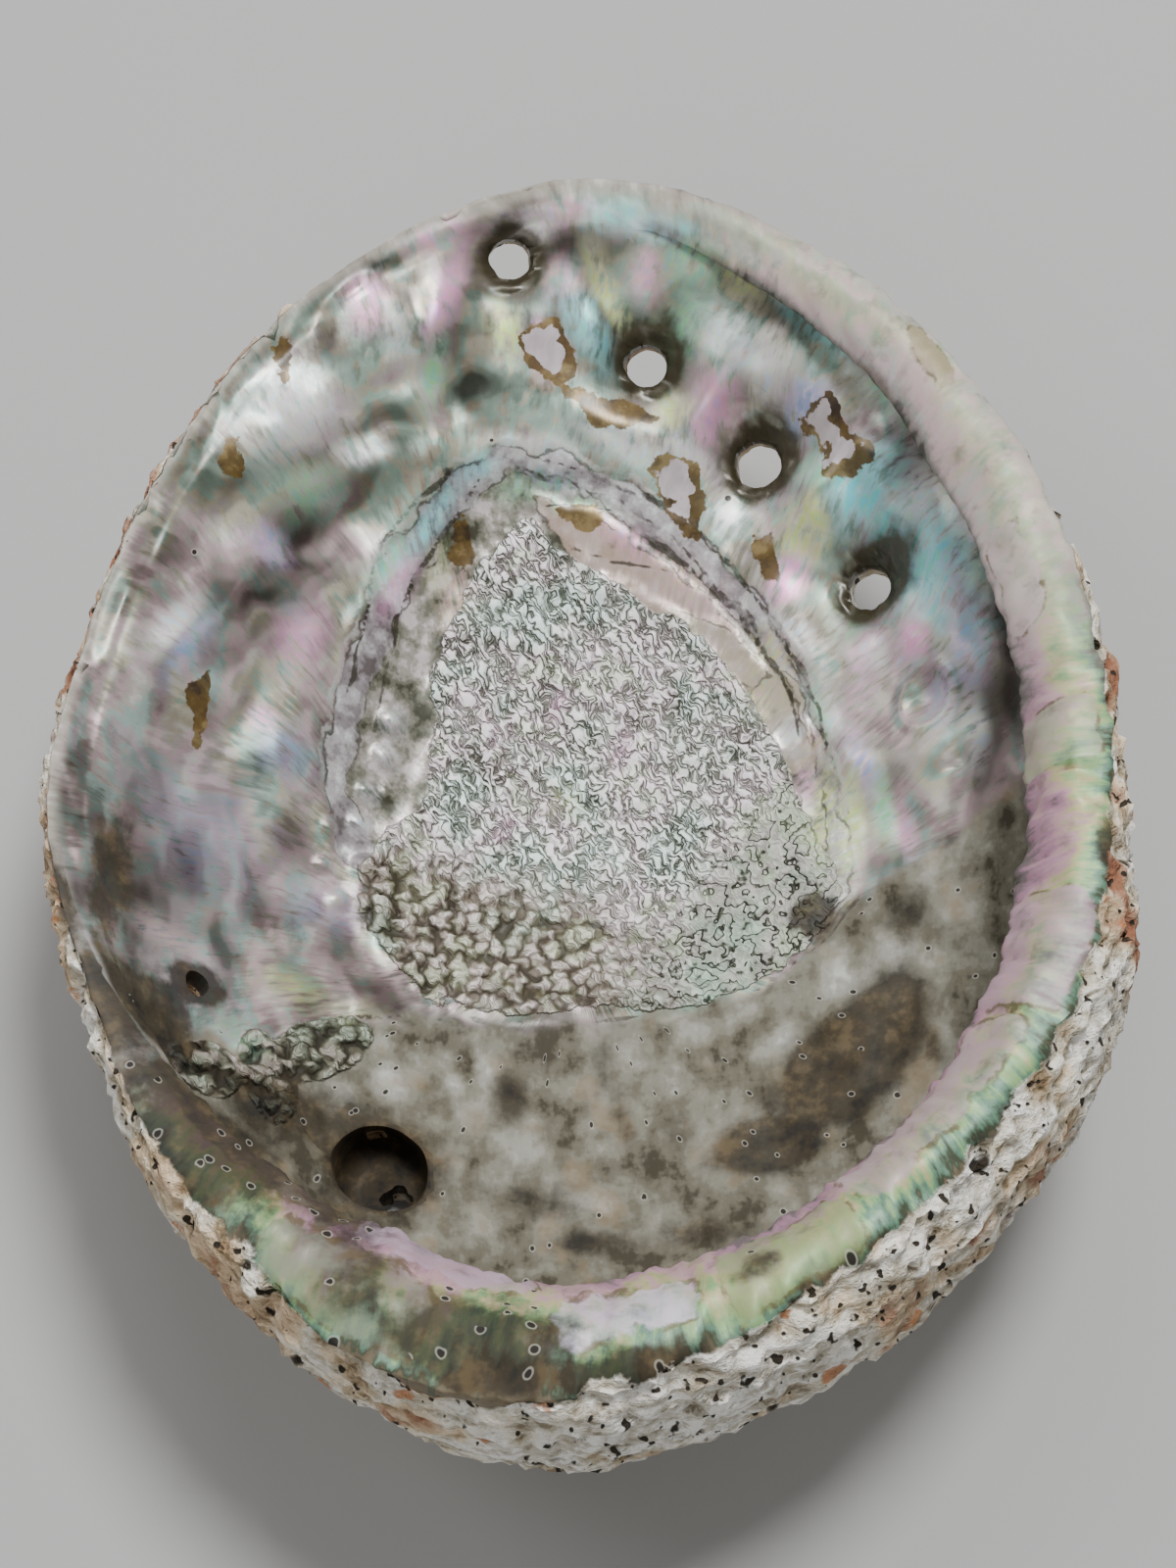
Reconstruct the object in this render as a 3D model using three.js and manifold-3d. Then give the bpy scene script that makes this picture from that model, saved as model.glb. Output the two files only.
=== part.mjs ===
// An empty abalone shell (a large red abalone), lying on its back with the mother-of-pearl
// bowl facing up. Millimetres, +Z up. +Y points to the front of the shell, where it is shallow and
// thin; -Y to the coiled spire; +X to the thick inner lip, beside the row of breathing holes.
// The shell grew as one piece, so it is one closed solid.
import * as THREE from "three";
import { ParametricGeometry } from "three/addons/geometries/ParametricGeometry.js";
import { mergeVertices } from "three/addons/utils/BufferGeometryUtils.js";
import Module from "manifold-3d";

// ---- Driving dimensions ----

const POLE = { x: -1, y: -9.5 }; // the deepest point of the bowl, where every cross-section starts
const FLOOR_HEIGHT = 6; // inside of the bowl at its deepest point
const BACK_SINK = 0.9; // depth of the patch worn flat on the back, where the shell rests on z = 0
const SLICES = 76; // facets round the shell
const STACKS_PER_SPAN = 3; // facets between two neighbouring points of a cross-section

// Measures of the shell at equal steps round the pole, counter-clockwise from +X.
// radius, height: the rim. lip: width of the polished border or inner lip along the rim.
// undercut: how far the wall runs back under the lip. bulge: how far the back stands out past the rim.
// steep: 0 for a gently sloping wall, 1 for an upright one. wall: thickness half-way up.
const STATIONS = [
  { radius: 77.5, height: 59.0, lip: 13.5, undercut: 11.0, bulge: 8.5, steep: 0.74, wall: 6.0 },
  { radius: 82.0, height: 58.5, lip: 13.5, undercut: 8.0, bulge: 5.0, steep: 0.62, wall: 5.5 },
  { radius: 91.0, height: 58.0, lip: 13.0, undercut: 6.0, bulge: 2.5, steep: 0.45, wall: 5.0 },
  { radius: 104.0, height: 56.5, lip: 11.0, undercut: 3.5, bulge: 1.2, steep: 0.25, wall: 4.5 },
  { radius: 113.5, height: 54.5, lip: 7.0, undercut: 0.0, bulge: 0.8, steep: 0.14, wall: 4.2 },
  { radius: 103.5, height: 52.0, lip: 5.5, undercut: 0.0, bulge: 0.6, steep: 0.10, wall: 3.8 },
  { radius: 89.5, height: 50.0, lip: 5.5, undercut: 0.0, bulge: 0.6, steep: 0.14, wall: 3.6 },
  { radius: 80.5, height: 48.5, lip: 5.5, undercut: 0.0, bulge: 1.2, steep: 0.24, wall: 3.6 },
  { radius: 78.0, height: 48.0, lip: 6.0, undercut: 0.5, bulge: 2.2, steep: 0.38, wall: 3.8 },
  { radius: 76.0, height: 49.0, lip: 7.0, undercut: 2.0, bulge: 2.8, steep: 0.50, wall: 4.2 },
  { radius: 80.5, height: 51.0, lip: 12.5, undercut: 7.0, bulge: 3.8, steep: 0.65, wall: 4.8 },
  { radius: 88.5, height: 53.5, lip: 20.0, undercut: 14.5, bulge: 5.5, steep: 0.80, wall: 5.5 },
  { radius: 92.0, height: 56.0, lip: 21.0, undercut: 18.0, bulge: 7.5, steep: 0.92, wall: 6.0 },
  { radius: 85.0, height: 57.5, lip: 16.5, undercut: 17.0, bulge: 10.5, steep: 0.94, wall: 6.5 },
  { radius: 80.5, height: 58.5, lip: 14.5, undercut: 15.5, bulge: 11.0, steep: 0.92, wall: 6.5 },
  { radius: 79.0, height: 59.0, lip: 15.0, undercut: 13.5, bulge: 10.5, steep: 0.84, wall: 6.2 },
];

// The open breathing holes. Each sits in a funnel that stands out behind as a short tube.
// lean: degrees from upright, away from the pole.
const HOLES = [
  { x: -11.6, y: 92.4, bore: 6.4, lean: 32, reach: 6.5, depth: 3.0 },
  { x: 10.4, y: 78.6, bore: 6.6, lean: 28, reach: 7.5, depth: 4.5 },
  { x: 28.5, y: 63.7, bore: 7.4, lean: 26, reach: 8.0, depth: 5.0 },
  { x: 45.7, y: 42.0, bore: 7.0, lean: 24, reach: 8.0, depth: 5.0 },
];
const DRILL_LENGTH = 40; // long enough to pass through the wall anywhere

// The spire: a knob on the back and the pit inside it, open where the tip wore away.
const SPIRE = { x: -29.5, y: -52.5, knob: 16, knobRise: 6, pit: 7.2, pitFloor: 6.0, opening: 4.2 };
// A borer's hole through the left wall.
const BORE_HOLE = { x: -56.3, y: -29.7, bore: 3.2, lean: 30 };
// The rough scar of the foot muscle stands a little proud of the floor.
const SCAR = { x: 3, y: 18, halfWidth: 35, halfLength: 37, rise: 1.1, edge: 0.12 };

// ---- Cross-sections ----

const ringOf = (...names) =>
  new THREE.CatmullRomCurve3(
    STATIONS.map((s) => new THREE.Vector3(...names.map((n) => s[n]))),
    true,
    "catmullrom",
    0.5,
  );
const rimRing = ringOf("radius", "height", "lip");
const sideRing = ringOf("undercut", "bulge", "steep");
const wallRing = ringOf("wall", "wall", "wall");

const INSIDE_STEPS = [0, 0.22, 0.42, 0.6, 0.76, 0.9, 1];
const BACK_STEPS = [1, 0.88, 0.74, 0.58, 0.4, 0.2, 0];
const LIP_POINTS = 5;
const SPANS = INSIDE_STEPS.length + LIP_POINTS + BACK_STEPS.length - 1;
// The parts of a section that are the bowl's floor and wall, and the back.
const BOWL_SHARE = (INSIDE_STEPS.length - 1) / SPANS;
const BACK_START = 1 - (BACK_STEPS.length - 1) / SPANS;

const point = (r, z) => new THREE.Vector3(r, 0, z);

// The cross-section at a turn (0 to 1) round the pole: distance from the pole in x, height in z.
// It runs from the floor up the inside, over the lip and rim, and down the back.
function crossSection(turn) {
  const { x: radius, y: height, z: lip } = rimRing.getPoint(turn);
  const { x: undercut, y: bulge, z: steep } = sideRing.getPoint(turn);
  const wall = wallRing.getPoint(turn).x;
  const nose = radius - lip;
  const inWall = nose + undercut;
  const lipDepth = 5 + 0.65 * undercut;
  const noseDrop = 1.2 + 0.4 * undercut;
  const wallTop = height - lipDepth;
  const rise = wallTop - FLOOR_HEIGHT;

  const flatEnd = inWall * (0.36 + 0.2 * steep);
  const turnOut = inWall * (0.66 + 0.36 * steep);
  const turnHeight = wallTop - rise * (0.4 + 0.32 * steep);
  const inside = new THREE.CubicBezierCurve3(
    point(0, FLOOR_HEIGHT),
    point(flatEnd, FLOOR_HEIGHT),
    point(turnOut, turnHeight),
    point(inWall, wallTop),
  );
  const back = new THREE.CubicBezierCurve3(
    point(0, -BACK_SINK),
    point(flatEnd + 0.4 * wall, -BACK_SINK),
    point(
      THREE.MathUtils.lerp(turnOut + 0.6 * wall, radius + 1.5 * bulge, steep),
      turnHeight - wall * (1.05 - 0.25 * steep),
    ),
    point(radius + 0.4 * bulge, height - 7),
  );
  const lipLine = [
    point(nose + 0.15 * undercut, wallTop + 0.45 * (lipDepth - noseDrop)),
    point(nose + 0.12 * lip, height - noseDrop),
    point(nose + 0.5 * lip, height + 0.4),
    point(radius - 1.2, height),
    point(radius + 0.1 * bulge, height - 1.8),
  ];
  return new THREE.CatmullRomCurve3(
    [
      ...INSIDE_STEPS.map((t) => inside.getPoint(t)),
      ...lipLine,
      ...BACK_STEPS.map((t) => back.getPoint(t)),
    ],
    false,
    "catmullrom",
    0.5,
  );
}

// ---- Relief ----

// How far both faces of the wall dip round the breathing holes.
const funnelDip = (x, y) =>
  HOLES.reduce(
    (sum, hole) =>
      sum + hole.depth * Math.exp(-((x - hole.x) ** 2 + (y - hole.y) ** 2) / hole.reach ** 2),
    0,
  );

function scarRise(x, y) {
  const reach = Math.hypot((x - SCAR.x) / SCAR.halfWidth, (y - SCAR.y) / SCAR.halfLength);
  return SCAR.rise * (1 - THREE.MathUtils.smoothstep(reach, 1 - SCAR.edge, 1 + SCAR.edge));
}

// The spire's knob swells the back only.
function knobDip(x, y) {
  const reach = Math.hypot(x - SPIRE.x, y - SPIRE.y) / SPIRE.knob;
  return SPIRE.knobRise * (1 - THREE.MathUtils.smoothstep(reach, 0.35, 1.25));
}

// A point of the skin: turn round the pole, and along from 0 at the floor to 1 under the back.
function skinPoint(section, turn, along, target) {
  const { x: r, z: height } = section.getPoint(along);
  const angle = turn * 2 * Math.PI;
  const x = POLE.x + r * Math.cos(angle);
  const y = POLE.y + r * Math.sin(angle);
  const relief = along < BOWL_SHARE ? scarRise(x, y) : along > BACK_START ? -knobDip(x, y) : 0;
  return target.set(x, y, Math.max(height - funnelDip(x, y) + relief, 0));
}

const turnAt = (x, y) => (Math.atan2(y - POLE.y, x - POLE.x) / (2 * Math.PI) + 1) % 1;

// The point of the bowl's surface above a place in plan.
function bowlPoint(x, y) {
  const turn = turnAt(x, y);
  const section = crossSection(turn);
  const reach = Math.hypot(x - POLE.x, y - POLE.y);
  const found = new THREE.Vector3();
  let [low, high] = [0, BOWL_SHARE];
  for (let step = 0; step < 20; step++) {
    const middle = (low + high) / 2;
    skinPoint(section, turn, middle, found);
    if (Math.hypot(found.x - POLE.x, found.y - POLE.y) < reach) low = middle;
    else high = middle;
  }
  return found;
}

// ---- Solid bodies ----

const wasm = await Module();
wasm.setup();

function solidOf(geometry) {
  const bare = geometry.clone();
  bare.deleteAttribute("normal");
  bare.deleteAttribute("uv");
  const merged = mergeVertices(bare, 1e-3);
  return new wasm.Manifold(
    new wasm.Mesh({
      numProp: 3,
      vertProperties: merged.attributes.position.array,
      triVerts: new Uint32Array(merged.index.array),
    }),
  );
}

function geometryOf(solid) {
  const mesh = solid.getMesh();
  const geometry = new THREE.BufferGeometry();
  geometry.setAttribute("position", new THREE.BufferAttribute(mesh.vertProperties, 3));
  geometry.setIndex(new THREE.BufferAttribute(mesh.triVerts, 1));
  geometry.computeVertexNormals();
  return geometry;
}

function skin() {
  const sections = Array.from({ length: SLICES }, (_, i) => crossSection(i / SLICES));
  // The sheet runs from the back to the floor, so that its faces point outwards.
  const sheet = (u, v, target) =>
    skinPoint(sections[Math.round(u * SLICES) % SLICES], u, 1 - v, target);
  return solidOf(new ParametricGeometry(sheet, SLICES, SPANS * STACKS_PER_SPAN));
}

// A drill through the wall, leaning away from the pole.
function drill({ x, y, bore, lean }) {
  const geometry = new THREE.CylinderGeometry(bore / 2, bore / 2, DRILL_LENGTH, 20);
  geometry.rotateX(Math.PI / 2);
  geometry.rotateY(-THREE.MathUtils.degToRad(lean));
  geometry.rotateZ(turnAt(x, y) * 2 * Math.PI);
  const { z } = bowlPoint(x, y);
  return solidOf(geometry.translate(x, y, z));
}

// A round hollow with a rounded floor, inside the spire.
function spirePit() {
  const mouth = bowlPoint(SPIRE.x, SPIRE.y).z + 6;
  const profile = [
    new THREE.Vector2(0, SPIRE.pitFloor),
    new THREE.Vector2(SPIRE.pit * 0.7, SPIRE.pitFloor + 1.2),
    new THREE.Vector2(SPIRE.pit * 0.95, SPIRE.pitFloor + 4.5),
    new THREE.Vector2(SPIRE.pit, mouth),
    new THREE.Vector2(0, mouth),
  ];
  const geometry = new THREE.LatheGeometry(profile, 28);
  return solidOf(geometry.rotateX(Math.PI / 2).translate(SPIRE.x, SPIRE.y, 0));
}

let shell = skin().subtract(spirePit());
const wornTip = new THREE.CylinderGeometry(SPIRE.opening / 2, SPIRE.opening / 2, DRILL_LENGTH, 16);
wornTip.rotateX(Math.PI / 2).translate(SPIRE.x + 2, SPIRE.y - 1.5, 0);
shell = shell.subtract(solidOf(wornTip));
for (const hole of [...HOLES, BORE_HOLE]) shell = shell.subtract(drill(hole));

const mesh = new THREE.Mesh(
  geometryOf(shell),
  new THREE.MeshStandardMaterial({ color: 0xb9b8b4, roughness: 0.35, metalness: 0.1 }),
);
mesh.name = "abalone_shell";
const model = new THREE.Group();
model.add(mesh);

export default model;
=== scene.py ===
"""An empty abalone shell lying on its back, laid out as a Blender add-on.

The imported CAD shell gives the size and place. The shell is built over it as one closed skin: the same
cross-sections as the CAD part, with the relief of mother-of-pearl, muscle scar, inner lip and crust added.
Lengths in the modelling code are millimetres and become metres when the mesh is written.
+Z is up out of the bowl, +Y points to the shallow front, -Y to the spire, +X to the thick inner lip.
"""

import math

import bpy
import numpy as np
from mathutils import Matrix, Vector, noise


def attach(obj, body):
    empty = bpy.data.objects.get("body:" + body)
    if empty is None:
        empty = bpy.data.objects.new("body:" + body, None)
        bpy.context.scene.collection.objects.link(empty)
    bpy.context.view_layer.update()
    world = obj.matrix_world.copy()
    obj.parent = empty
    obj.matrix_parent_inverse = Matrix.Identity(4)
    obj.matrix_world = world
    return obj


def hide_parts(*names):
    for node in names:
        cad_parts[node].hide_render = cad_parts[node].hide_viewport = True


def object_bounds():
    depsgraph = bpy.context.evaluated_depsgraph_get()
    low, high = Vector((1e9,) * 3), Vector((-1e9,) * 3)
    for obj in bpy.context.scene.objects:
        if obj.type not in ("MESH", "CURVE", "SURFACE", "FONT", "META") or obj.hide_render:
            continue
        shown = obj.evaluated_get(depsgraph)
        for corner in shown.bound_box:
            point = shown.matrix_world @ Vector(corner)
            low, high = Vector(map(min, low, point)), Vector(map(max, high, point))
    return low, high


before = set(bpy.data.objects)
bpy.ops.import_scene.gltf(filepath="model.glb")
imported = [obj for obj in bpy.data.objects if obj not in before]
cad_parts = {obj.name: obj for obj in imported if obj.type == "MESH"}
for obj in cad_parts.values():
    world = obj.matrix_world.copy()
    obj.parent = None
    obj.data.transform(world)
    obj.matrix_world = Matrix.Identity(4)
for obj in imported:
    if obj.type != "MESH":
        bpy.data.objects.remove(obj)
CAD_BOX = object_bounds()

bl_info = {
    "name": "Abalone Shell",
    "version": (1, 0, 0),
    "blender": (4, 5, 0),
    "location": "View3D > Sidebar > Abalone",
    "description": "Builds an old abalone shell with a mother-of-pearl bowl and a plain stage",
    "category": "Add Mesh",
}

MM = 0.001

# ---- The shell's cross-sections ----

POLE = (-1.0, -9.5)
FLOOR_HEIGHT = 6.0
BACK_SINK = 0.9

# One row every 22.5 degrees round the pole, counter-clockwise from +X: rim radius, rim height, lip width,
# undercut below the lip, bulge of the back, steepness of the wall, wall thickness.
STATIONS = np.array(
    [
        [77.5, 59.0, 13.5, 11.0, 8.5, 0.74, 6.0],
        [82.0, 58.5, 13.5, 8.0, 5.0, 0.62, 5.5],
        [91.0, 58.0, 13.0, 6.0, 2.5, 0.45, 5.0],
        [104.0, 56.5, 11.0, 3.5, 1.2, 0.25, 4.5],
        [113.5, 54.5, 7.0, 0.0, 0.8, 0.14, 4.2],
        [103.5, 52.0, 5.5, 0.0, 0.6, 0.10, 3.8],
        [89.5, 50.0, 5.5, 0.0, 0.6, 0.14, 3.6],
        [80.5, 48.5, 5.5, 0.0, 1.2, 0.24, 3.6],
        [78.0, 48.0, 6.0, 0.5, 2.2, 0.38, 3.8],
        [76.0, 49.0, 7.0, 2.0, 2.8, 0.50, 4.2],
        [80.5, 51.0, 12.5, 7.0, 3.8, 0.65, 4.8],
        [88.5, 53.5, 20.0, 14.5, 5.5, 0.80, 5.5],
        [92.0, 56.0, 21.0, 18.0, 7.5, 0.92, 6.0],
        [85.0, 57.5, 16.5, 17.0, 10.5, 0.94, 6.5],
        [80.5, 58.5, 14.5, 15.5, 11.0, 0.92, 6.5],
        [79.0, 59.0, 15.0, 13.5, 10.5, 0.84, 6.2],
    ]
)
INSIDE_STEPS = (0, 0.22, 0.42, 0.6, 0.76, 0.9, 1)
BACK_STEPS = (1, 0.88, 0.74, 0.58, 0.4, 0.2, 0)
# Places along a cross-section, counted in its points: the bowl ends under the lip, the lip ends at the rim.
WALL_TOP = 6.0
BACK_TOP = 12.0
SECTION_END = 18.0

# The direction in which the stage's camera stands at 60 degrees; the hue of the nacre's painted sheen is
# measured from it.
CAMERA_SIDE = (0, -0.5, 0.866)

# The fineness of the shared grain and of the low wall's streaks, in cells to the metre.
GRIT_FINENESS = 190
STREAK_FINENESS = 150
# How softly a plate's tone ends at its edge.
PLATE_SOFTNESS = 0.12
# How far the finest grain of each finish stands out, in the material only.
SCAR_GRAIN = 0.8
FEATHER_GRAIN = 0.03
CRUST_GRAIN = 1.6
# Where the coordinates that run round the shell meet, in degrees, and the radius that they are measured at.
DARK_CORNER = 236
WAY_RADIUS = 62

# Open breathing holes: x, y, bore, lean from upright, funnel reach, funnel depth.
HOLES = (
    (-11.6, 92.4, 6.4, 32, 6.5, 3.0),
    (10.4, 78.6, 6.6, 28, 7.5, 4.5),
    (28.5, 63.7, 7.4, 26, 8.0, 5.0),
    (45.7, 42.0, 7.0, 24, 8.0, 5.0),
)
SPIRE = (-29.5, -52.5)
KNOB_RADIUS = 16.0
KNOB_RISE = 6.0
PIT_RADIUS = 7.2
PIT_FLOOR = 6.0
OPENING_PLACE = (-27.5, -54.0)
BORER = (-56.3, -29.7, 3.2, 30)

# ---- Named places inside the bowl, in plan ----

SCAR_OUTLINE = (
    (-10, 56), (4, 47), (17, 40), (27, 29), (33, 16), (37, 4), (41, -5), (38, -11), (30, -17),
    (18, -22), (0, -23), (-17, -24), (-26, -20), (-33, -12), (-35, -3), (-30, 6), (-24, 12),
    (-24, 25), (-23, 35), (-19, 44), (-13, 53),
)
RIDGE_OUTLINE = (
    (-40, 9), (-39, 24), (-35, 36), (-31, 48), (-22, 60), (-13, 65), (-3, 65), (7, 61), (18, 54),
    (29, 42), (34, 31), (38, 21), (40, 11), (42, 2), (42, -6), (30, -17), (0, -20), (-22, -17),
    (-30, -8), (-38, 0),
)
INNER_PLATE = ((-37, 10), (-34, 26), (-30, 36), (-26, 45), (-19, 56), (-12, 62), (-4, 62), (6, 57),
               (15, 51), (24, 42), (30, 34), (34, 26), (37, 16), (39, 6), (36, -8), (0, -17), (-25, -10))
CROWN_PLATE = ((-8, 59), (2, 57), (10, 52), (18, 46), (25, 39), (30, 31), (27, 28), (14, 40), (2, 46))
SIDE_PLATE = ((12, 43), (20, 41), (27, 36), (34, 29), (37, 20), (34, 14), (28, 20), (20, 32))
CREASE = ((-45, -34), (-37, -28), (-26, -25), (-12, -25), (4, -24.5), (18, -23), (28, -20), (38, -13),
          (43, -7))
AMBER_WINDOWS = (
    ((-4, 74), (1, 74), (6, 72.5), (12, 70), (8, 67.5), (2, 68.5), (-2, 71)),
    ((27.5, 52), (30.5, 52), (32, 45), (29, 45), (28, 48)),
    ((-22, 49), (-19, 55), (-16.5, 50), (-20, 45)),
    ((-5, 57.5), (0, 59), (6, 56.5), (1, 54)),
    ((-60, 17), (-57, 20), (-56, 13), (-59, 9)),
    ((-49, 72), (-47, 76), (-45, 70), (-47, 66)),
    ((-56, 56), (-53, 57), (-53, 51), (-56, 51)),
)
# Windows whose film is worn through to pale nacre in the middle.
RIMMED_WINDOWS = (
    ((11, 62), (14, 64.5), (18, 63.5), (21, 58), (18.5, 52.5), (14, 56)),
    ((35, 67.5), (40, 68.5), (42, 62.5), (47.5, 57.5), (43, 55), (38, 56.5), (39, 61)),
    ((-11, 81), (-4, 83), (0, 77), (-3, 73), (-8, 76)),
)

# Thin plates of the ridge, outermost first, and how far each steps down in mm.
PLATES = ((RIDGE_OUTLINE, 0.5), (INNER_PLATE, 0.6), (CROWN_PLATE, -0.5), (SIDE_PLATE, -0.45))

# Fine dark lines where thin layers of the ridge end.
LAYER_LINES = (
    ((-15, 64), (-7, 64.3), (1.5, 62.3), (10, 59), (18, 54), (26.4, 45.5), (31.4, 37.7), (36, 28.3),
     (39.5, 16), (42, 7)),
    ((-10.6, 63), (-2.2, 61), (6, 58.8), (15, 52.5), (22, 45.2), (28.5, 38.7)),
    ((-6, 58), (3.7, 57.8), (12, 52), (19.5, 46.8), (25, 41.6), (31, 31)),
    ((-2, 52), (4.7, 50), (13, 48.8), (20.4, 44.7), (27.8, 39.3), (29.8, 33.7), (33, 28.2), (35, 20)),
    ((-21, 60.5), (-27, 54.7), (-32.3, 48), (-33.7, 40.8), (-34.7, 35), (-37, 24)),
    ((-16.5, 60.4), (-21.8, 52.5), (-26.2, 45.7), (-29.4, 38.7), (-31, 30), (-33, 20)),
)

# Pearl beads beside the scar: x, y, radius, rise.
BEADS = (
    (-30, 22, 2.2, 1.1), (-31, 16.5, 2.0, 1.0), (-33.5, 10.5, 1.7, 0.7), (-34.5, 5, 1.9, 0.7),
    (-30.5, 11, 1.3, 0.5),
    (-39, 3, 1.6, 0.5), (-40, -3, 1.4, 0.5), (-37.5, -8, 1.8, 0.6), (-34, -2, 2.2, 0.7), (-30, 1, 1.8, 0.6),
)

# Broad folds of the nacre: x, y, width, height, tilt, rise.
NACRE_FOLDS = (
    (-47, 60, 13, 4.5, 42, 1.9), (-40, 48, 11, 3.5, 38, -1.6), (-19, 78, 3.5, 10, -12, -1.2),
    (-24, 80, 2.5, 9, -16, 1.0),
    (-8, 84, 4, 8, 20, 1.0), (-35, 58, 8, 3, 25, 0.9), (-61, 23, 3.5, 9, -28, 1.2),
    (-54, 28, 4, 10, -25, -0.5),
    (-47, 14, 5, 8, -10, 0.9), (2, 82, 3, 9, 35, 1.2), (20, 71, 3, 8, -40, 1.2), (36, 54, 3.5, 8, -45, 1.4),
    (57, 38, 4, 16, 20, 1.4), (49, 28, 3, 9, 25, -1.0), (-2, 70, 12, 3, -10, 0.9), (38, 28, 3, 12, 25, 0.7),
    (28, 85, 10, 3, -32, 1.0), (-66, -6, 5, 12, 5, 1.0), (46, 2, 3, 10, 12, 0.6), (-52, 0, 4, 14, 8, -0.7),
    (-44, -12, 8, 4, 15, 0.7), (40, 70, 3, 10, 40, 0.8), (48, 60, 2.5, 12, 32, -1.0),
)

SCAR_SWAY = 2.6 * MM
KNOB_SWAY = 2.6 * MM
SCAR_RELIEF = 1.1 * MM
CRUST_RELIEF = 2.6 * MM
CRUST_LEVEL = 0.62
PORE_DEPTH = 1.2 * MM


def ring(turn):
    """The seven station measures at turns (0 to 1) round the pole."""
    count = len(STATIONS)
    place = (np.asarray(turn) % 1) * count
    low = np.floor(place).astype(int)
    step = (place - low)[:, None]
    before, here, there, after = (STATIONS[(low + k) % count] for k in (-1, 0, 1, 2))
    return flow(before, here, there, after, step)


def flow(before, here, there, after, step):
    """A Catmull-Rom curve between here and there."""
    leave = (there - before) * 0.5
    arrive = (after - here) * 0.5
    cubic = 2 * here - 2 * there + leave + arrive
    square = -3 * here + 3 * there - 2 * leave - arrive
    return ((cubic * step + square) * step + leave) * step + here


def bezier(controls, step):
    a, b, c, d = controls
    left = 1 - step
    return left**3 * a + 3 * left**2 * step * b + 3 * left * step**2 * c + step**3 * d


def section_points(turn):
    """The 19 points of each cross-section: distance from the pole, height."""
    radius, height, lip, undercut, bulge, steep, wall = ring(turn).T
    nose = radius - lip
    # Where there is no inner lip, the wall runs smoothly out to a thin edge.
    thin = 1 - ease(undercut, 0, 4)
    in_wall = nose + undercut - 3.0 * thin
    lip_depth = 5 + 0.65 * undercut - 1.4 * thin
    nose_drop = 1.2 + 0.4 * undercut - 0.1 * thin
    wall_top = height - lip_depth
    rise = wall_top - FLOOR_HEIGHT

    def spot(r, z):
        return np.stack([r + 0 * radius, z + 0 * radius], -1)

    flat_end = in_wall * (0.36 + 0.2 * steep)
    turn_out = in_wall * (0.66 + 0.36 * steep)
    turn_height = wall_top - rise * (0.4 + 0.32 * steep)
    inside = [spot(0, FLOOR_HEIGHT), spot(flat_end, FLOOR_HEIGHT), spot(turn_out, turn_height),
              spot(in_wall, wall_top)]
    back_out = (1 - steep) * (turn_out + 0.6 * wall) + steep * (radius + 1.5 * bulge)
    back = [
        spot(0, -BACK_SINK),
        spot(flat_end + 0.4 * wall, -BACK_SINK),
        spot(back_out, turn_height - wall * (1.05 - 0.25 * steep)),
        spot(radius + 0.4 * bulge, height - 7),
    ]
    lip_line = [
        spot(nose + 0.15 * undercut - 0.5 * thin, wall_top + (0.45 + 0.1 * thin) * (lip_depth - nose_drop)),
        spot(nose + (0.12 + 0.15 * thin) * lip, height - nose_drop),
        spot(nose + (0.5 + 0.12 * thin) * lip, height + 0.4 - 0.5 * thin),
        spot(radius - 1.2, height),
        spot(radius + 0.1 * bulge, height - 1.8),
    ]
    line = [bezier(inside, t) for t in INSIDE_STEPS] + lip_line + [bezier(back, t) for t in BACK_STEPS]
    line = [2 * line[0] - line[1]] + line + [2 * line[-1] - line[-2]]
    return np.stack(line, 1)


def funnel_dip(x, y):
    dip = 0 * x
    for hole_x, hole_y, _, _, reach, depth in HOLES:
        dip += depth * np.exp(-((x - hole_x) ** 2 + (y - hole_y) ** 2) / reach**2)
    return dip


def ease(value, low, high):
    """0 below low, 1 above high, smooth between."""
    share = np.clip((value - low) / (high - low), 0, 1)
    return share * share * (3 - 2 * share)


def knob_dip(x, y):
    reach = np.hypot(x - SPIRE[0], y - SPIRE[1]) / KNOB_RADIUS
    return KNOB_RISE * (1 - ease(reach, 0.35, 1.25))


def skin_points(turn, along):
    """Points of the plain skin. along counts section points from the floor (0) to under the back (18)."""
    lines = section_points(turn)
    place = np.clip(along, 0, SECTION_END - 1e-6)
    low = np.floor(place).astype(int)
    row = np.arange(len(low))
    step = (place - low)[:, None]
    spot = flow(*(lines[row, low + k] for k in range(4)), step)
    angle = 2 * math.pi * turn
    x = POLE[0] + spot[:, 0] * np.cos(angle)
    y = POLE[1] + spot[:, 0] * np.sin(angle)
    z = spot[:, 1] - funnel_dip(x, y) - knob_dip(x, y) * (along > BACK_TOP)
    return np.stack([x, y, np.maximum(z, 0)], -1)


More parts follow.
